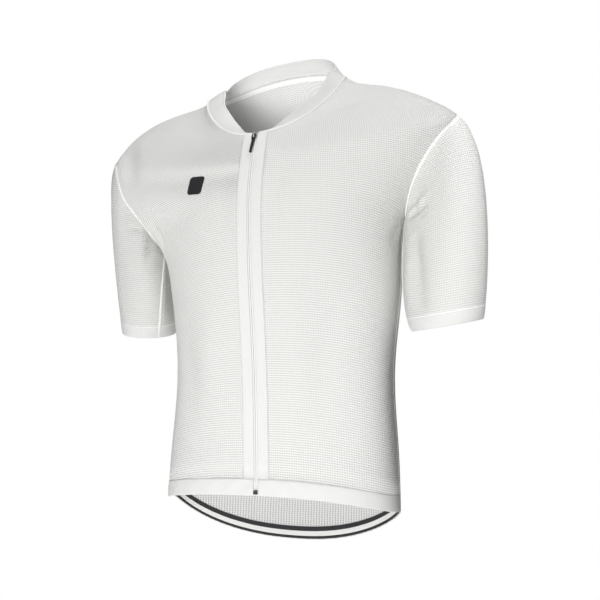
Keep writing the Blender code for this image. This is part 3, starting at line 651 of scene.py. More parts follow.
knitWhite = knitPaint("knit_white", knit["light"], knit["dark"], .27, .03, .36)
# the sleeves' knit is the panels' knit painted 11 percent darker: painted shade on both sleeves
knitSleevePaintedShade = knitPaint("knit_sleeve_painted_shade", tuple(.89 * v for v in knit["light"]), knit["dark"],
                       .27, .03, .36)
# the back's knit is its own coarser mesh with stronger columns; its white is also painted darker
# than the front's, painted shade for the inside seen under the hem
knitBack = knitPaint("knit_back", (.80, .80, .79), (.36, .36, .35), .12, .34, .36, .0043)
bandWhite = bandPaint("band_white", (.82, .82, .805), (.72, .72, .71))
softWhite = bandPaint("soft_white", (.74, .74, .725), (.65, .65, .64))
seamWhite = bandPaint("seam_white", (.93, .93, .915), (.74, .74, .73), .0011, .7)
threadWhite = bandPaint("thread_white", (.90, .90, .88), (.70, .70, .68), .0006, .8)
elasticPaint = Paint("elastic_striped", (.03, .03, .034), .6, sheen=.1, specular=.35)
height = elasticPaint.pattern()[1]
white = elasticPaint.math("MULTIPLY", elasticPaint.mapped(height, .0043, .0046),
                          elasticPaint.mapped(height, .0109, .0112, 1.0, 0.0))
ribs = elasticPaint.wave(elasticPaint.pattern()[0], .0013)
rows = elasticPaint.wave(height, .0011)
woven = elasticPaint.math("MULTIPLY_ADD", ribs, .6, elasticPaint.math("MULTIPLY", rows, .4))
black = elasticPaint.mixed(woven, (.012, .012, .014), (.030, .030, .033))
pale = elasticPaint.mixed(woven, (.84, .84, .82), (.94, .94, .92))
elasticPaint.colour(elasticPaint.mixed(white, black, pale))
elasticPaint.relief(woven, .0003, .8)

badgePaint = Paint("badge_black", (.018, .018, .020), .48, specular=.4)
speckle = badgePaint.noise(badgePaint.place(), 1800.0, 4.0)
badgePaint.colour(badgePaint.mixed(speckle, (.012, .012, .014), (.032, .032, .035)))
badgePaint.relief(speckle, .00012, .5)

zipPaint = Paint("zip_tape", (.74, .74, .735), .7, sheen=.1, specular=.35)
u, v = zipPaint.pattern()
seam = zipPaint.mapped(u, .0001, .0006, .35, 0.0)
ribs = zipPaint.wave(v, .0014)
shade = zipPaint.math("MULTIPLY_ADD", ribs, .08, seam)
zipPaint.colour(zipPaint.mixed(shade, (.90, .90, .89), (.42, .42, .43)))
zipPaint.relief(zipPaint.wave(v, .0007), .00015, .6)

metalPaint = Paint("slider_grey", (.52, .52, .53), .45, metal=.6)
wear = metalPaint.noise(metalPaint.place(), 700.0, 4.0)
metalPaint.colour(metalPaint.mixed(wear, (.44, .44, .45), (.62, .62, .63)))
metalPaint.relief(wear, .00006, .4)

tabPaint = Paint("tab_black", (.015, .015, .017), .42, specular=.45)
grain = tabPaint.noise(tabPaint.place(), 1500.0, 3.0)
tabPaint.colour(tabPaint.mixed(grain, (.010, .010, .012), (.028, .028, .030)))
tabPaint.relief(grain, .0001, .35)
print("finishes ready")

# rows of the panels, closer along the armhole
panelRows = np.concatenate([np.linspace(.52, 4, 84), np.linspace(4, 6, 48)[1:],
                            np.linspace(6, 9, 46)[1:]])


def seamPulled(points, edges, amount=cloth["gap"] / 2):
    # moves the named edge rows of a grid towards the rows beside them
    points = points.copy()
    spots = {"first": (np.s_[0], np.s_[1]), "last": (np.s_[-1], np.s_[-2]),
             "low": (np.s_[:, 0], np.s_[:, 1]), "high": (np.s_[:, -1], np.s_[:, -2])}
    for edge in edges:
        rim, near = spots[edge]
        points[rim] += unit(points[near] - points[rim]) * amount
    return points


frontSizes = {"columns": 60, "flat": (.285, .545), "area": .1166}
for side in ("left", "right"):
    sign = sideSign[side]
    share = np.linspace(0, 1, frontSizes["columns"])[None, :]
    rows = panelRows[:, None]
    innerEdge = angleAtWidth(rows, cloth["facingEdge"], side)
    outerEdge = armholeAngle(side, "front", rows)
    angles = innerEdge + (outerEdge - innerEdge) * share
    rings = np.broadcast_to(rows, angles.shape)
    first = np.linspace(angleAtWidth(np.array([.2]), cloth["facingEdge"], side)[0],
                        np.pi / 2, frontSizes["columns"])
    bandTop = ringAtHeight(first * sign, cloth["hemBand"])
    angles = np.vstack([first, angles]) * sign
    rings = np.vstack([bandTop, rings])
    points, normals = bodyPoint(rings, angles), bodyNormal(rings, angles)
    atArm = (rings[:, -1] >= 4) & (rings[:, -1] <= 6)
    armPhi = (6 - rings[atArm, -1]) * np.pi / 2
    normals[atArm, -1] = sharedNormal(normals[atArm, -1],
                                      sleeveNormal(side, armPhi, np.zeros(len(armPhi))))
    normals[-1] = sharedNormal(normals[-1], collarFrame(angles[-1])[3])
    points = seamPulled(creasedTorso(points, normals), ("first", "last", "low", "high"))
    panel = clothShell("frontPanel" + side.title(), points, normals, cloth["wall"],
                       bodyPattern(rings, angles), knitWhite)
    dressed(panel, "mesh", "jersey", "front_" + side)
print("front panels")

hemSizes = {"columns": 110, "rows": 14, "flat": (.200, .021), "ripple": .0011,
            "stitchPitch": .0030, "stitchIn": .0018}
for side in ("left", "right"):
    sign = sideSign[side]
    first = np.linspace(angleAtWidth(np.array([.1]), cloth["coilEdge"], side)[0], np.pi / 2,
                        hemSizes["columns"])
    top = ringAtHeight(first * sign, cloth["hemBand"])
    share = np.linspace(0, 1, hemSizes["rows"])[:, None]
    rings = share * top[None, :]
    angles = np.broadcast_to(first * sign, rings.shape)
    points, normals = bodyPoint(rings, angles), bodyNormal(rings, angles)
    pattern = bodyPattern(rings, angles)
    # soft puckers that die away from the zip, and a slight crown between the edges
    away = np.abs(pattern[..., 0] if side == "left" else pattern[..., 0].max() - pattern[..., 0])
    pucker = hemSizes["ripple"] * np.sin(away / .0052 + 1.5 * share) \
        * np.exp(-away / .045) * np.sin(np.pi * share)
    crown = .0006 * np.sin(np.pi * np.clip(share * 1.04, 0, 1)) ** .6
    points = seamPulled(points + normals * (pucker + crown)[..., None],
                        ("last", "low", "high"))
    band = clothShell("hemBand" + side.title(), points, normals, cloth["wall"], pattern,
                      bandWhite, round=(3, 0))
    dressed(band, "smooth_band", "jersey", "hem_front_" + side)
    # the row of stitches along the band's top
    level = ringAtHeight(first * sign, cloth["hemBand"] - hemSizes["stitchIn"])
    path, up = bodyPoint(level, first * sign), bodyNormal(level, first * sign)
    here, ahead, up = evenly(path + up * .0004, up, hemSizes["stitchPitch"])
    stitches = thread("hemStitches" + side.title(), here, ahead, up,
                      hemSizes["stitchPitch"] * .8, .00028, threadWhite)
    dressed(stitches, "smooth_band", "jersey")


def zipGrid(side, widths, rows):
    rings = np.broadcast_to(rows[:, None], (len(rows), len(widths)))
    angle = angleAtWidth(rings, widths[None, :], side) * sideSign[side]
    normals = bodyNormal(rings, angle)
    normals[-1] = sharedNormal(normals[-1], collarFrame(angle[-1])[3])
    return rings, angle, bodyPoint(rings, angle), normals


facingSizes = {"columns": 22, "crown": .0006, "lap": .0009, "lift": .0005, "flat": (.0150, .475)}
bandTopMiddle = float(ringAtHeight(np.array([.03]), cloth["hemBand"])[0])
for side in ("left", "right"):
    widths = np.linspace(cloth["coilEdge"], cloth["facingEdge"] + facingSizes["lap"],
                         facingSizes["columns"])
    rows = np.concatenate([[bandTopMiddle], panelRows])
    rings, angle, points, normals = zipGrid(side, widths, rows)
    share = np.linspace(0, 1, facingSizes["columns"])[None, :]
    # rolled inner edge, a shallow stitched channel and a soft outer edge
    crown = facingSizes["crown"] * (1 - (2 * share - 1) ** 6) \
        - .0004 * np.exp(-((share - .20) / .035) ** 2) \
        - .0003 * np.exp(-((share - .88) / .04) ** 2) + facingSizes["lift"] * share ** 4
    points = seamPulled(points + normals * crown[..., None], ("first", "last", "low", "high"))
    pattern = np.stack([np.broadcast_to(widths, rings.shape),
                        bodyPattern(rings, angle)[..., 1]], -1)
    strip = clothShell("zipFacing" + side.title(), points, normals, cloth["wall"], pattern,
                       bandWhite)
    dressed(strip, "smooth_band", "jersey", "zip_facing_" + side)
print("hem bands and facings")

# one back panel, from the drop tail to the collar
backSizes = {"columns": 130, "flat": (.600, .760), "area": .321}
share = np.linspace(0, 1, backSizes["columns"])[None, :]
rows = panelRows[:, None]
leftEdge = armholeAngle("left", "back", rows)
rightEdge = 2 * np.pi - armholeAngle("right", "back", rows)
angles = leftEdge + (rightEdge - leftEdge) * share
rings = np.broadcast_to(rows, angles.shape)
lowAngles = np.pi / 2 + np.pi * share
lowRows = np.vstack([ringAtHeight(lowAngles, height)[None, :]
                     for height in np.linspace(0, .03, 14)])
keep = panelRows > lowRows.max() + .02
rings = np.vstack([lowRows, rings[keep]])
angles = np.vstack([np.repeat(lowAngles, len(lowRows), 0), angles[keep]])
points, normals = bodyPoint(rings, angles), bodyNormal(rings, angles)
for column, side in ((0, "left"), (-1, "right")):
    atArm = (rings[:, column] >= 4) & (rings[:, column] <= 6)
    armPhi = (rings[atArm, column] - 2) * np.pi / 2
    normals[atArm, column] = sharedNormal(normals[atArm, column],
                                          sleeveNormal(side, armPhi, np.zeros(len(armPhi))))
normals[-1] = sharedNormal(normals[-1], collarFrame(angles[-1])[3])
points = seamPulled(creasedTorso(points, normals), ("last", "low", "high"))
back = clothShell("backPanel", points, normals, cloth["wall"], bodyPattern(rings, angles),
                  knitBack, round=(3, 0))
dressed(back, "mesh", "jersey", "back_panel")
print("back panel")

# sleeves, each ending in a smooth band
sleeveMesh = {"around": 200, "along": 130, "cuffRows": 12,
              "flat": {"left": (.44, .27), "right": (.42, .25)},
              "area": {"left": .0652, "right": .0523},
              "cuffFlat": {"left": (.292, .017), "right": (.262, .017)}}


def sleevePattern(side, phi, t):
    # round the sleeve at its own girth, up from its end
    fine = np.linspace(0, 1, 121)
    turn = np.linspace(0, 2 * np.pi, 97)
    grid = sleevePoint(side, turn[None, :], fine[:, None])
    girth = np.zeros(grid.shape[:2])
    girth[:, 1:] = np.cumsum(np.linalg.norm(np.diff(grid, axis=1), axis=-1), axis=1)
    length = np.zeros(grid.shape[:2])
    length[:-1] = np.cumsum(np.linalg.norm(np.diff(grid, axis=0), axis=-1)[::-1],
                            axis=0)[::-1]
    r, a = np.clip(t, 0, 1) * 120, np.clip(phi, 0, 2 * np.pi) / (2 * np.pi) * 96
    i, j = np.clip(r.astype(int), 0, 119), np.clip(a.astype(int), 0, 95)
    u, v = r - i, a - j
    look = lambda table: ((table[i, j] * (1 - v) + table[i, j + 1] * v) * (1 - u)
                          + (table[i + 1, j] * (1 - v) + table[i + 1, j + 1] * v) * u)
    return np.stack([look(girth), look(length)], -1)


def cuffSeam(side, phi):
    # share of the length at which the band begins
    fine = np.linspace(0, 1, 161)
    line = sleevePoint(side, phi[None, :], fine[:, None])
    run = np.cumsum(np.linalg.norm(np.diff(line[::-1], axis=0), axis=-1), axis=0)
    run = np.vstack([np.zeros((1, len(phi))), run])
    return np.array([1 - np.interp(cloth["cuffBand"], run[:, i], fine)
                     for i in range(len(phi))])


for side in ("left", "right"):
    phi = np.linspace(0, 2 * np.pi, sleeveMesh["around"] + 1)
    seam = cuffSeam(side, phi)
    t = np.linspace(0, 1, sleeveMesh["along"])[:, None] * seam[None, :]
    around = np.broadcast_to(phi, t.shape)
    points, normals = sleevePoint(side, around, t), sleeveNormal(side, around, t)
    depth = creaseDepth(points, sleevePaths[side]) * edgeFade(t, 0, .05)
    ring, angle = armholeRing(side, phi)
    normals[0] = sharedNormal(normals[0], bodyNormal(ring, angle * sideSign[side]))
    points = seamPulled(points - normals * depth[..., None], ("first", "last"))
    sleeve = clothShell("sleeve" + side.title(), points[:, :-1], normals[:, :-1],
                        cloth["wall"], sleevePattern(side, around, t), knitSleevePaintedShade, closed=True)
    dressed(sleeve, "mesh", "jersey", "sleeve_" + side)
    t = seam + (1 - seam) * np.linspace(0, 1, sleeveMesh["cuffRows"])[:, None]
    around = np.broadcast_to(phi, t.shape)
    points, normals = sleevePoint(side, around, t), sleeveNormal(side, around, t)
    share = (t - seam) / (1 - seam)
    points = points + normals * (.0004 * np.sin(np.pi * share) ** .6)[..., None]
    points = seamPulled(points, ("first",))
    band = clothShell("cuff" + side.title(), points[:, :-1], normals[:, :-1], cloth["wall"],
                      sleevePattern(side, around, t), softWhite, closed=True, round=(0, 3))
    dressed(band, "smooth_band", "jersey", "cuff_" + side)
print("sleeves and cuffs")

# stand collar
collarSizes = {"rows": 34, "columns": 260, "crown": .0009, "rim": .0007,
               "channel": .0006, "wall": .0014, "flat": (.54, .0345), "area": .0146}
neck = np.array([neckRing])
start = float(angleAtWidth(neck, cloth["coilEdge"] * 1.6, "left")[0])
angles = np.linspace(start, 2 * np.pi - start, collarSizes["columns"])
foot, reach, height, facingOut = collarFrame(angles)
up = np.linspace(0, 1, collarSizes["rows"])[:, None, None]
points = foot + reach * ((height[:, None] - .0006) * up + cloth["gap"] / 2)
normals = np.broadcast_to(facingOut, points.shape).copy()
normals[0] = sharedNormal(facingOut, bodyNormal(np.full(len(angles), neckRing), angles))
# crowned between its edges, with a rolled rim and a sewn channel above the foot
above = (height[:, None] - .0006) * up
fade = np.clip(height[:, None] / .012, 0, 1)
crown = collarSizes["crown"] * np.sin(np.pi * up) * fade \
    + collarSizes["rim"] * np.exp(-((height[:, None] - above - .0022) / .0012) ** 2) * fade \
    - collarSizes["channel"] * np.exp(-((above - .0036) / .0010) ** 2) * fade
points = points + normals * crown
run = np.concatenate([[0], np.cumsum(np.linalg.norm(np.diff(foot, axis=0), axis=-1))])
pattern = np.stack([np.broadcast_to(run, points.shape[:2]),
                    height[None, :] * up[..., 0]], -1)
collar = clothShell("collar", points, normals, collarSizes["wall"], pattern, softWhite,
                    round=(0, 4))
dressed(collar, "smooth_band", "jersey", "collar")
print("collar")

# elastic inside the back hem: black, white and black bands, the white one proud
elasticSizes = {"low": .0044, "high": .0110, "wall": .0009, "proud": .0003, "rows": 34,
                "columns": 330, "flat": (.392, .0166)}
angles = np.linspace(lowAngles.min() + .012, lowAngles.max() - .012, elasticSizes["columns"])
heights = np.linspace(.0006, cloth["gripperBand"], elasticSizes["rows"])
rings = np.vstack([ringAtHeight(angles, height)[None, :] for height in heights])
across = np.broadcast_to(angles, rings.shape)
points, normals = bodyPoint(rings, across), bodyNormal(rings, across)
white = edgeFade(heights, elasticSizes["low"] - .0003, .0006) \
    * (1 - edgeFade(heights, elasticSizes["high"] - .0003, .0006))
outer = points - normals * (cloth["wall"] + cloth["gap"])
inner = outer - normals * (elasticSizes["wall"] + elasticSizes["proud"]
                           * white[:, None, None])
run = np.concatenate([[0], np.cumsum(np.linalg.norm(np.diff(points[0], axis=0), axis=-1))])
pattern = np.stack([np.broadcast_to(run, rings.shape),
                    np.broadcast_to(heights[:, None], rings.shape)], -1)
elastic = clothShell("backElastic", outer, (outer - inner), 1.0, pattern,
                     elasticPaint.material)
dressed(elastic, "elastic", "jersey", "gripper_back")
print("elastic")

# rear pocket panel: three pockets under one elastic edge, sewn down two lines
pocketSizes = {"rows": (.52, 2.25), "columns": (.1538, .8462), "gape": .0030,
               "lines": (.335, .665), "flat": (.308, .205)}
share = np.linspace(0, 1, 150)
height = np.linspace(0, 1, 70)[:, None]
rings = pocketSizes["rows"][0] + (pocketSizes["rows"][1] - pocketSizes["rows"][0]) * height
rings = np.broadcast_to(rings, (70, 150))
place = pocketSizes["columns"][0] + (pocketSizes["columns"][1]
                                     - pocketSizes["columns"][0]) * share
angles = np.broadcast_to(np.pi / 2 + np.pi * place, rings.shape)
points, normals = bodyPoint(rings, angles), bodyNormal(rings, angles)
sewn = np.ones(rings.shape)
for line in pocketSizes["lines"]:
    sewn *= 1 - np.exp(-((share - line) / .022) ** 2)[None, :]
sewn *= np.minimum(1, np.minimum(share, 1 - share) / .05)[None, :] ** .7
gape = pocketSizes["gape"] * sewn * np.clip(height, 0, 1) ** 1.5 \
    + .0008 * np.clip(sewn, 0, 1) * np.sin(np.pi * np.clip(height * 1.2, 0, 1))
points = creasedTorso(points, normals) \
    + normals * (cloth["gap"] + cloth["wall"] + gape)[..., None]
pattern = bodyPattern(rings, angles)
pocket = clothShell("backPocket", points, normals, cloth["wall"], pattern, knitWhite,
                    round=(3, 3))
dressed(pocket, "mesh", "jersey", "pocket_back")
edge = np.linspace(.905, 1.0, 9) * (len(points) - 1)
low, part = np.floor(edge).astype(int), (edge % 1)[:, None, None]
high = np.minimum(low + 1, len(points) - 1)
band = points[low] * (1 - part) + points[high] * part
up = unit(normals[low] * (1 - part) + normals[high] * part)
ribs = .00025 * np.sin(np.linspace(0, 400, band.shape[1]))[None, :, None]
bandPattern = pattern[low] * (1 - part) + pattern[high] * part
binding = clothShell("pocketBinding", band + up * (.0008 + ribs), up, .0006, bandPattern,
                     bandWhite, round=(2, 2))
dressed(binding, "smooth_band", "jersey")
places, aheads, ups = [], [], []
for line in (0.012, *pocketSizes["lines"], .988):
    column = int(round(line * (len(share) - 1)))
    for aside in (-.0012, .0012):
        sideways = unit(points[:, column + (1 if column < 149 else -1)] - points[:, column])
        here, ahead, out = evenly(points[:, column] + sideways * aside
                                  + normals[:, column] * .0002, normals[:, column], .0028)
        places.append(here), aheads.append(ahead), ups.append(out)
stitches = thread("pocketStitches", np.vstack(places), np.vstack(aheads), np.vstack(ups),
                  .0022, .00028, threadWhite)
dressed(stitches, "smooth_band", "jersey")
print("pocket")

# flat seams: a low tape with three ridges over each join
seamSizes = {"width": .0046, "rise": .0008}


def tapeProfile(width, rise, ridges=3, samples=15):
    # a rounded step across the width with a wave of that many ridges on it
    a = np.linspace(-1, 1, samples)
    b = rise * (1 - a ** 6) * (.78 + .22 * np.cos(np.pi * a * ridges)) - .0001
    top = np.stack([a * width / 2, b], -1)
    return np.vstack([top, [[width * .49, -.0006], [-width * .49, -.0006]]])


def seamTape(name, path, normals, closed=False, width=None, rise=None, slot="smooth_band",
             material=None, ridges=3):
    ahead = np.gradient(path, axis=0)
    if closed:
        ahead = np.roll(path, -1, 0) - np.roll(path, 1, 0)
    ahead = unit(ahead)
    up = unit(normals - ahead * np.sum(normals * ahead, -1, keepdims=True))
    sideways = unit(np.cross(ahead, up))
    tape = gridTube(name, path, sideways, up,
                    tapeProfile(width or seamSizes["width"], rise or seamSizes["rise"], ridges),
                    material or seamWhite, closed)
    return dressed(tape, slot, "jersey")


armSeam = {"left": (.0062, .0014), "right": (.0044, .0010)}
leftSleevePieces = []
for side in ("left", "right"):
    sign = sideSign[side]
    phi = np.linspace(0, 2 * np.pi, 361)[:-1]
    ring, angle = armholeRing(side, phi)
    path = bodyPoint(ring, sign * angle)
    own, other = bodyNormal(ring, sign * angle), sleeveNormal(side, phi, phi * 0)
    tape = seamTape("armholeSeam" + side.title(), path, sharedNormal(own, other), True,
                    *armSeam[side])
    leftSleevePieces += [tape] if side == "left" else []
    rings = np.linspace(6.02, 8.995, 110)
    angle = np.full(len(rings), sign * np.pi / 2)
    seamTape("shoulderSeam" + side.title(), bodyPoint(rings, angle), bodyNormal(rings, angle))
    rings = np.linspace(.02, 3.97, 150)
    angle = np.full(len(rings), sign * np.pi / 2)
    path, up = bodyPoint(rings, angle), bodyNormal(rings, angle)
    path = path - up * creaseDepth(path, torsoPaths)[..., None]
    seamTape("sideSeam" + side.title(), path, up, width=.0040, rise=.0006)
    # under the arm the seam wanders a little forwards towards the cuff
    t = np.linspace(.012, .998, 110)
    phi = np.pi - (0 if side == "left" else .20) * t ** 1.4
    path, up = sleevePoint(side, phi, t), sleeveNormal(side, phi, t)
    path = path - up * (creaseDepth(path, sleevePaths[side]) * edgeFade(t, 0, .05))[:, None]
    tape = seamTape("underarmSeam" + side.title(), path, up, width=.0036, rise=.0009)
    leftSleevePieces += [tape] if side == "left" else []
    # the narrow raised seam where the cuff meets the sleeve
    phi = np.linspace(0, 2 * np.pi, 241)[:-1]
    t = cuffSeam(side, phi)
    path, up = sleevePoint(side, phi, t), sleeveNormal(side, phi, t)
    tape = seamTape("cuffSeam" + side.title(), path, up, True, width=.0020, rise=.0007,
                    ridges=1)
    leftSleevePieces += [tape] if side == "left" else []
leftSleevePieces += [bpy.data.objects["sleeveLeft"], bpy.data.objects["cuffLeft"]]

# piping at the foot of the collar outside, a narrow tape over the seam inside
angles = np.linspace(start * 1.5, 2 * np.pi - start * 1.5, 420)
foot, reach, height, facingOut = collarFrame(angles)
below = bodyNormal(np.full(len(angles), neckRing), angles)
seamTape("collarPiping", foot + facingOut * .0001, sharedNormal(facingOut, below),
         width=.0026, rise=.0011, ridges=1)
angles = np.linspace(.95, 2 * np.pi - .95, 260)
rings = np.full(len(angles), 8.86)
path, up = bodyPoint(rings, angles), bodyNormal(rings, angles)
seamTape("neckTape", path - up * (cloth["wall"] + .0001), -up, width=.0072,
         rise=.0006, ridges=2)
print("seams")

# badge: a slightly domed rubber patch with a raised rim, left bare
badgeSizes = {"ring": 4.834, "angle": -18.0, "width": .0232, "height": .0262,
              "corner": .0045, "lean": -12.0, "slope": -4.0, "wall": .0010, "rise": .0007}


def roundedOutline(width, height, corner, count=5, centre=(0, 0)):
    # four quarter turns at the corners of a rectangle
    a = np.linspace(0, np.pi / 2, count)
    turns = np.concatenate([a + k * np.pi / 2 for k in range(4)])
    cx = np.repeat([1, -1, -1, 1], count) * (width / 2 - corner)
    cy = np.repeat([1, 1, -1, -1], count) * (height / 2 - corner)
    return np.stack([centre[0] + cx + corner * np.cos(turns),
                     centre[1] + cy + corner * np.sin(turns)], -1)


def nearestOnBody(wanted, ring, angle, step=.002):
    # Newton steps on ring and angle towards the wanted points
    ring, angle = np.full(wanted.shape[:-1], ring), np.full(wanted.shape[:-1], angle)
    for _ in range(6):
        here = bodyPoint(ring, angle)
        turn = np.stack([(bodyPoint(ring + step, angle) - here) / step,
                         (bodyPoint(ring, angle + step) - here) / step], -1)
        move = np.einsum("...ij,...j->...i", np.linalg.pinv(turn), wanted - here)
        ring, angle = ring + move[..., 0], angle + move[..., 1]
    return ring, angle


b = badgeSizes
centre = b["ring"], math.radians(b["angle"])
facing = bodyNormal(np.array([centre[0]]), np.array([centre[1]]))[0]
upright = unit(np.array([0, 0, 1.0]) - facing * facing[2])
sideways = np.cross(facing, upright)
lean, slope = math.radians(b["lean"]), math.radians(b["slope"])
tall = upright * math.cos(lean) + sideways * math.sin(lean)
wide = upright * math.sin(slope) - sideways * math.cos(slope)
shares = np.concatenate([np.linspace(.02, .86, 14), [.885, .90, .915, .93, .95, .97, .985, 1]])
rim = roundedOutline(b["width"], b["height"], b["corner"], 14)
flat = rim[None] * shares[:, None, None]
wanted = bodyPoint(*centre) + flat[..., :1] * wide + flat[..., 1:] * tall
rings, angles = nearestOnBody(wanted, *centre)
normals = bodyNormal(rings, angles)
lift = .0003 * edgeFade(shares, .86, .04) - .0005 * np.clip((shares - .955) / .045, 0, 1) ** 2
points = creasedTorso(bodyPoint(rings, angles), normals) \
    + normals * (b["rise"] + b["wall"] + lift[:, None] - .0002)[..., None]
count = points.shape[1]
i, j = np.meshgrid(np.arange(len(shares) - 1), np.arange(count), indexing="ij")
m = (j + 1) % count
ring = np.stack([i * count + j, i * count + m, (i + 1) * count + m, (i + 1) * count + j], -1)
under = ring + len(shares) * count
last = (len(shares) - 1) * count
side = np.stack([last + j[0], last + m[0], last + m[0] + len(shares) * count,
                 last + j[0] + len(shares) * count], -1)
top = ring.reshape(-1, 4).tolist() + [list(range(count))[::-1]]
bottom = under.reshape(-1, 4)[:, ::-1].tolist() + [[len(shares) * count + k
                                                     for k in range(count)]]
faces = top + bottom + side.tolist()
depth = points - normals * (b["wall"] - .0001)
cloud = np.concatenate([points.reshape(-1, 3), depth.reshape(-1, 3)])
first = cloud[faces[0]]
if np.dot(np.cross(first[1] - first[0], first[2] - first[1]), facing) < 0:
    faces = [face[::-1] for face in faces]
badge = meshObject("chestBadge", cloud, faces, badgePaint.material)
dressed(badge, "badge", "jersey", "badge_chest")
print("badge")

# zip: two woven tape halves with the coil's ribs under them, a groove between
zipSizes = {"pitch": .0014, "samples": 3, "crown": .0005}
for side in ("left", "right"):
    length = float(upTable[-1, 0] - upTable[0, 0])
    count = int(length / zipSizes["pitch"] * zipSizes["samples"])
    table = upTable[:, 0]
    rows = np.interp(np.linspace(table[0], table[-1], count), table, np.linspace(0, 9, 181))
    widths = np.array([.0001, .0004, .0009, .0014, .0019, .0023, cloth["coilEdge"]])
    rings, angle, points, normals = zipGrid(side, widths, rows)
    share = widths[None, :] / cloth["coilEdge"]
    turn = np.arange(count)[:, None] * 2 * np.pi / zipSizes["samples"]
    crown = zipSizes["crown"] * np.sin(np.pi * np.clip(share * .9 + .08, 0, 1)) \
        + .00010 * np.cos(turn + (0 if side == "left" else np.pi)) * (share < .75)
    points = seamPulled(points + normals * (crown - .0003)[..., None],
                        ("last", "low", "high"), .0001)
    pattern = np.stack([np.broadcast_to(widths, rings.shape),
                        np.broadcast_to(np.linspace(0, length, count)[:, None],
                                        rings.shape)], -1)
    half = clothShell("zipTape" + side.title(), points, normals, .0012, pattern,
                      zipPaint.material)
    dressed(half, "zip_coil", "jersey", "zip_coil_" + side)
print("zip tapes")


def zipFrame(ring):
    # place on the zip and its directions: across, up along it, outward
    outward = unit(bodyNormal(np.array([ring]), np.array([0.0]))[0] * [0, 1, 1])
    upward = unit(np.cross(outward, [1.0, 0, 0]))
    upward = upward if upward[2] > 0 else -upward
    return bodyPoint(ring, 0.0), np.array([1.0, 0, 0]), upward, outward


def hardPiece(name, spot, loops, low, high, along, material, bevel):
    # straight solid on flat outlines, the first one filled and the others left open,
    # with its edges rounded by a bevel
    origin, across, up, out = spot
    mesh = bmesh.new()
    decks = []
    for level in (low, high):
        deck = []
        for loop in loops:
            loop = np.asarray(loop)
            if along == "out":
                spots = origin + across * loop[:, :1] + up * loop[:, 1:] + out * level
            else:
                spots = origin + across * level + up * loop[:, 1:] + out * loop[:, :1]
            deck.append([mesh.verts.new(p) for p in spots.tolist()])
        decks.append(deck)
    for deck in decks:
        edges = [mesh.edges.new((ring[i], ring[(i + 1) % len(ring)]))
                 for ring in deck for i in range(len(ring))]
        bmesh.ops.triangle_fill(mesh, use_beauty=True, edges=edges)
    for lowRing, highRing in zip(*decks):
        for i in range(len(lowRing)):
            k = (i + 1) % len(lowRing)
            mesh.faces.new((lowRing[i], lowRing[k], highRing[k], highRing[i]))
    bmesh.ops.recalc_face_normals(mesh, faces=mesh.faces)
    data = bpy.data.meshes.new(name)
    mesh.to_mesh(data)
    mesh.free()
    data.materials.append(material)
    item = bpy.data.objects.new(name, data)
    bpy.context.scene.collection.objects.link(item)
    rounding = item.modifiers.new("rounding", "BEVEL")
    rounding.width, rounding.segments, rounding.limit_method = bevel, 3, "ANGLE"
    rounding.angle_limit = math.radians(40)
    rounding.harden_normals = False
    data.polygons.foreach_set("use_smooth", [True] * len(data.polygons))
    data.set_sharp_from_angle(angle=math.radians(38))
    return item


sliderSizes = {"ring": 8.62, "width": .0084, "length": .0110, "wall": .0020,
               "archWidth": .0020, "archLength": .0086, "archHeight": .0042,
               "archWall": .0012}
z = sliderSizes
spot = zipFrame(z["ring"])
lowFace, topFace = cloth["gap"], cloth["gap"] + z["wall"]
body = roundedOutline(z["width"], z["length"], .0022, 8)
body[:, 0] *= 1 - .16 * np.clip(-body[:, 1] / (z["length"] / 2), 0, 1) ** 2
plate = hardPiece("sliderPlate", spot, [body], lowFace, topFace, "out",
                  metalPaint.material, .0005)
turns = np.radians(np.linspace(0, 180, 25))
halfLength, rise, wall = z["archLength"] / 2, z["archHeight"], z["archWall"]
arch = np.vstack([
    np.stack([topFace + rise * np.sin(turns), halfLength * np.cos(turns)], -1),
    [[topFace - .0006, -halfLength], [topFace - .0006, -halfLength + wall]],
    np.stack([topFace + (rise - wall) * np.sin(turns),
              -(halfLength - wall) * np.cos(turns)], -1),
    [[topFace - .0006, halfLength - wall], [topFace - .0006, halfLength]]])
bridge = hardPiece("sliderBridge", spot, [arch], -z["archWidth"] / 2, z["archWidth"] / 2,
                   "across", metalPaint.material, .0004)
dressed(plate, "slider_metal", "jersey", "zip_slider")
dressed(bridge, "slider_metal", "jersey", "zip_slider")

pullSizes = {"length": .0300, "head": .0058, "stem": .0034, "wall": .0014, "eyeWidth": .0036,
             "eyeLength": .0046, "bar": .0014, "lean": -5.0}
p = pullSizes
barOut = topFace + (rise - wall) * .52


def leaning(flat):
    # turns the tab's outline about its hinge, its foot towards the wearer's right
    turn = math.radians(p["lean"])
    return np.asarray(flat) @ np.array([[math.cos(turn), math.sin(turn)],
                                        [-math.sin(turn), math.cos(turn)]])


def pullOutline(steps=9):
    # round head, straight to the shoulder, a short taper and a round-ended stem
    wide, thin, top = p["head"] / 2, p["stem"] / 2, p["bar"] / 2
    foot = top - p["length"] + thin
    quarter = np.radians(np.linspace(0, 90, steps))[:, None]
    corner = .0018
    head = np.hstack([wide - corner + corner * np.cos(quarter),
                      top - corner + corner * np.sin(quarter)])
    tip = np.hstack([thin * np.sin(quarter), foot - thin * np.cos(quarter)])
    sideLine = np.vstack([tip, [[thin, -.0092], [wide, -.0062]], head])
    return np.vstack([sideLine, (sideLine * [-1, 1])[::-1][:-1]])


eye = roundedOutline(p["eyeWidth"], p["eyeLength"], .0007, 5,
                     (0, -p["bar"] / 2 - p["eyeLength"] / 2))
tab = hardPiece("pullTab", spot, [leaning(pullOutline()), leaning(eye)],
                barOut - p["wall"] / 2, barOut + p["wall"] / 2, "out", tabPaint.material,
                .0004)
dressed(tab, "tab", "pull", "zip_pull")
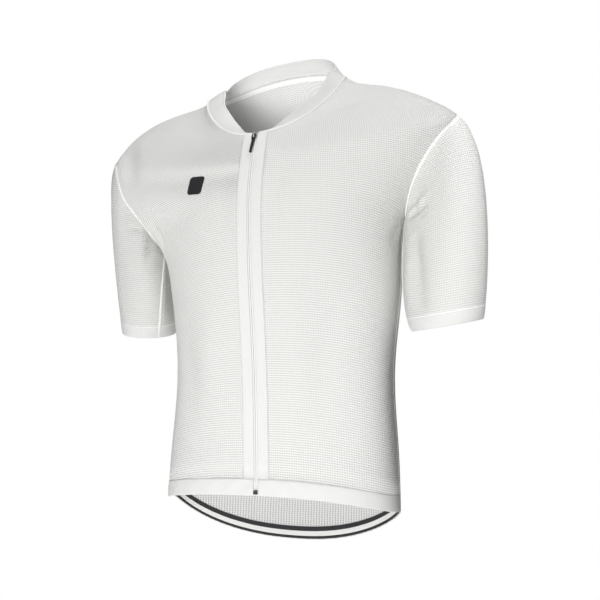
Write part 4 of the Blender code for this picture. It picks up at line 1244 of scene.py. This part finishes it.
# grip ribs across the lower half of the tab
ribHalf = np.linspace(-.5, .5, 9) * p["stem"] * .62
for number in range(6):
    flat = leaning(np.stack([ribHalf, np.full(9, -.0135 - number * .0024)], -1))
    at = spot[0] + spot[1] * flat[:, :1] + spot[2] * flat[:, 1:] \
        + spot[3] * (barOut + p["wall"] / 2 - .00005)
    turn = np.linspace(0, 2 * np.pi, 10, endpoint=False)
    ribRing = np.stack([np.cos(turn) * .00045, np.sin(turn) * .00030], -1)
    rib = gridTube("pullRib" + str(number + 1), at, np.broadcast_to(spot[2], at.shape),
                   np.broadcast_to(spot[3], at.shape), ribRing, tabPaint.material)
    dressed(rib, "tab", "pull")

stopSizes = {"width": .0056, "length": .0050, "wall": .0022, "rise": .0042}
spot = zipFrame(0.0)
box = hardPiece("zipStop", spot, [roundedOutline(stopSizes["width"], stopSizes["length"],
                                                 .0010, 6, (0, stopSizes["rise"]))],
                cloth["gap"], cloth["gap"] + stopSizes["wall"], "out", tabPaint.material,
                .0004)
dressed(box, "tab", "jersey", "zip_stop")
print("zip hardware")

# camera and lights
view = {"at": (.38285598, -.8925933, -.48989951), "towards": (.02907782, .01137987, -.32724034),
        "lens": 40.84, "sensor": 36.0}
lens = bpy.data.cameras.new("camera")
lens.lens, lens.sensor_width = view["lens"], view["sensor"]
camera = bpy.data.objects.new("camera", lens)
camera.location = view["at"]
camera.rotation_euler = (Vector(view["towards"]) - Vector(view["at"])).to_track_quat(
    "-Z", "Y").to_euler()
bpy.context.scene.collection.objects.link(camera)
bpy.context.scene.camera = camera

lights = {   # azimuth from the front towards the wearer's left, height angle, size, power
    "frontRight": (0, -20, 1.3, 40.0), "frontLeft": (3, -20, 1.3, 26.0),
    "frontHigh": (0, 40, 1.4, 6.0), "leftHigh": (90, 70, 1.4, 47.0),
    "behind": (-150, -25, 1.4, 56.0), "behindHigh": (180, 45, 1.8, 8.0),
    "leftSleeve": (62, 16, 2.0, 24.0),
}
sleeveOnly = bpy.data.collections.new("leftSleeve_light")
for item in leftSleevePieces:
    sleeveOnly.objects.link(item)
middle = Vector((0, 0, -.33))
for name, (azimuth, rise, size, power) in lights.items():
    lamp = bpy.data.lights.new(name, "AREA")
    lamp.size, lamp.energy = size, power
    item = bpy.data.objects.new(name, lamp)
    a, e = math.radians(azimuth), math.radians(rise)
    item.location = middle + Vector((math.sin(a) * math.cos(e), -math.cos(a) * math.cos(e),
                                     math.sin(e))) * 2.6
    item.rotation_euler = (middle - item.location).to_track_quat("-Z", "Y").to_euler()
    item.visible_camera = False
    bpy.context.scene.collection.objects.link(item)
    if name == "leftSleeve":   # lights the left sleeve and is kept off the rest
        item.light_linking.receiver_collection = sleeveOnly

# a small soft lamp inside the neck, turned to the back
inner = {"at": (.035, -.040, -.035), "towards": (-.060, .090, -.030), "size": .10, "power": .06}
lamp = bpy.data.lights.new("neckInside", "AREA")
lamp.size, lamp.energy = inner["size"], inner["power"]
item = bpy.data.objects.new("neckInside", lamp)
item.location = inner["at"]
item.rotation_euler = (Vector(inner["towards"]) - Vector(inner["at"])).to_track_quat(
    "-Z", "Y").to_euler()
item.visible_camera = False
bpy.context.scene.collection.objects.link(item)

# a white room behind, softer than it looks, so that the turned sides stay in shade
room = {"seen": 1.0, "light": .04, "tint": (.96, .98, 1.0, 1)}
world = bpy.data.worlds.new("studio")
world.use_nodes = True
nodes, links = world.node_tree.nodes, world.node_tree.links
nodes["Background"].inputs["Color"].default_value = room["tint"]
nodes["Background"].inputs["Strength"].default_value = room["light"]
plain = nodes.new("ShaderNodeBackground")
plain.inputs["Color"].default_value = (1, 1, 1, 1)
plain.inputs["Strength"].default_value = room["seen"]
choice, rays = nodes.new("ShaderNodeMixShader"), nodes.new("ShaderNodeLightPath")
links.new(rays.outputs["Is Camera Ray"], choice.inputs[0])
links.new(nodes["Background"].outputs[0], choice.inputs[1])
links.new(plain.outputs[0], choice.inputs[2])
links.new(choice.outputs[0], nodes["World Output"].inputs["Surface"])
bpy.context.scene.world = world
bpy.context.scene.view_settings.view_transform = "Standard"

# a round pale floor well below the hem
floorSizes = {"radius": 1.2, "height": -1.2, "spokes": 96}
turn = np.linspace(0, 2 * np.pi, floorSizes["spokes"], endpoint=False)
rim = np.stack([np.cos(turn), np.sin(turn), turn * 0], -1) * floorSizes["radius"] \
    + [0, 0, floorSizes["height"]]
floorPaint = Paint("floor_pale", (.90, .90, .90), .8)
floorPaint.colour(floorPaint.mixed(floorPaint.noise(floorPaint.place(), 3.0),
                                   (.90, .90, .90), (.93, .93, .93)))
floor = meshObject("floor", rim, [list(range(len(rim)))], floorPaint.material, False)
print("room and floor")
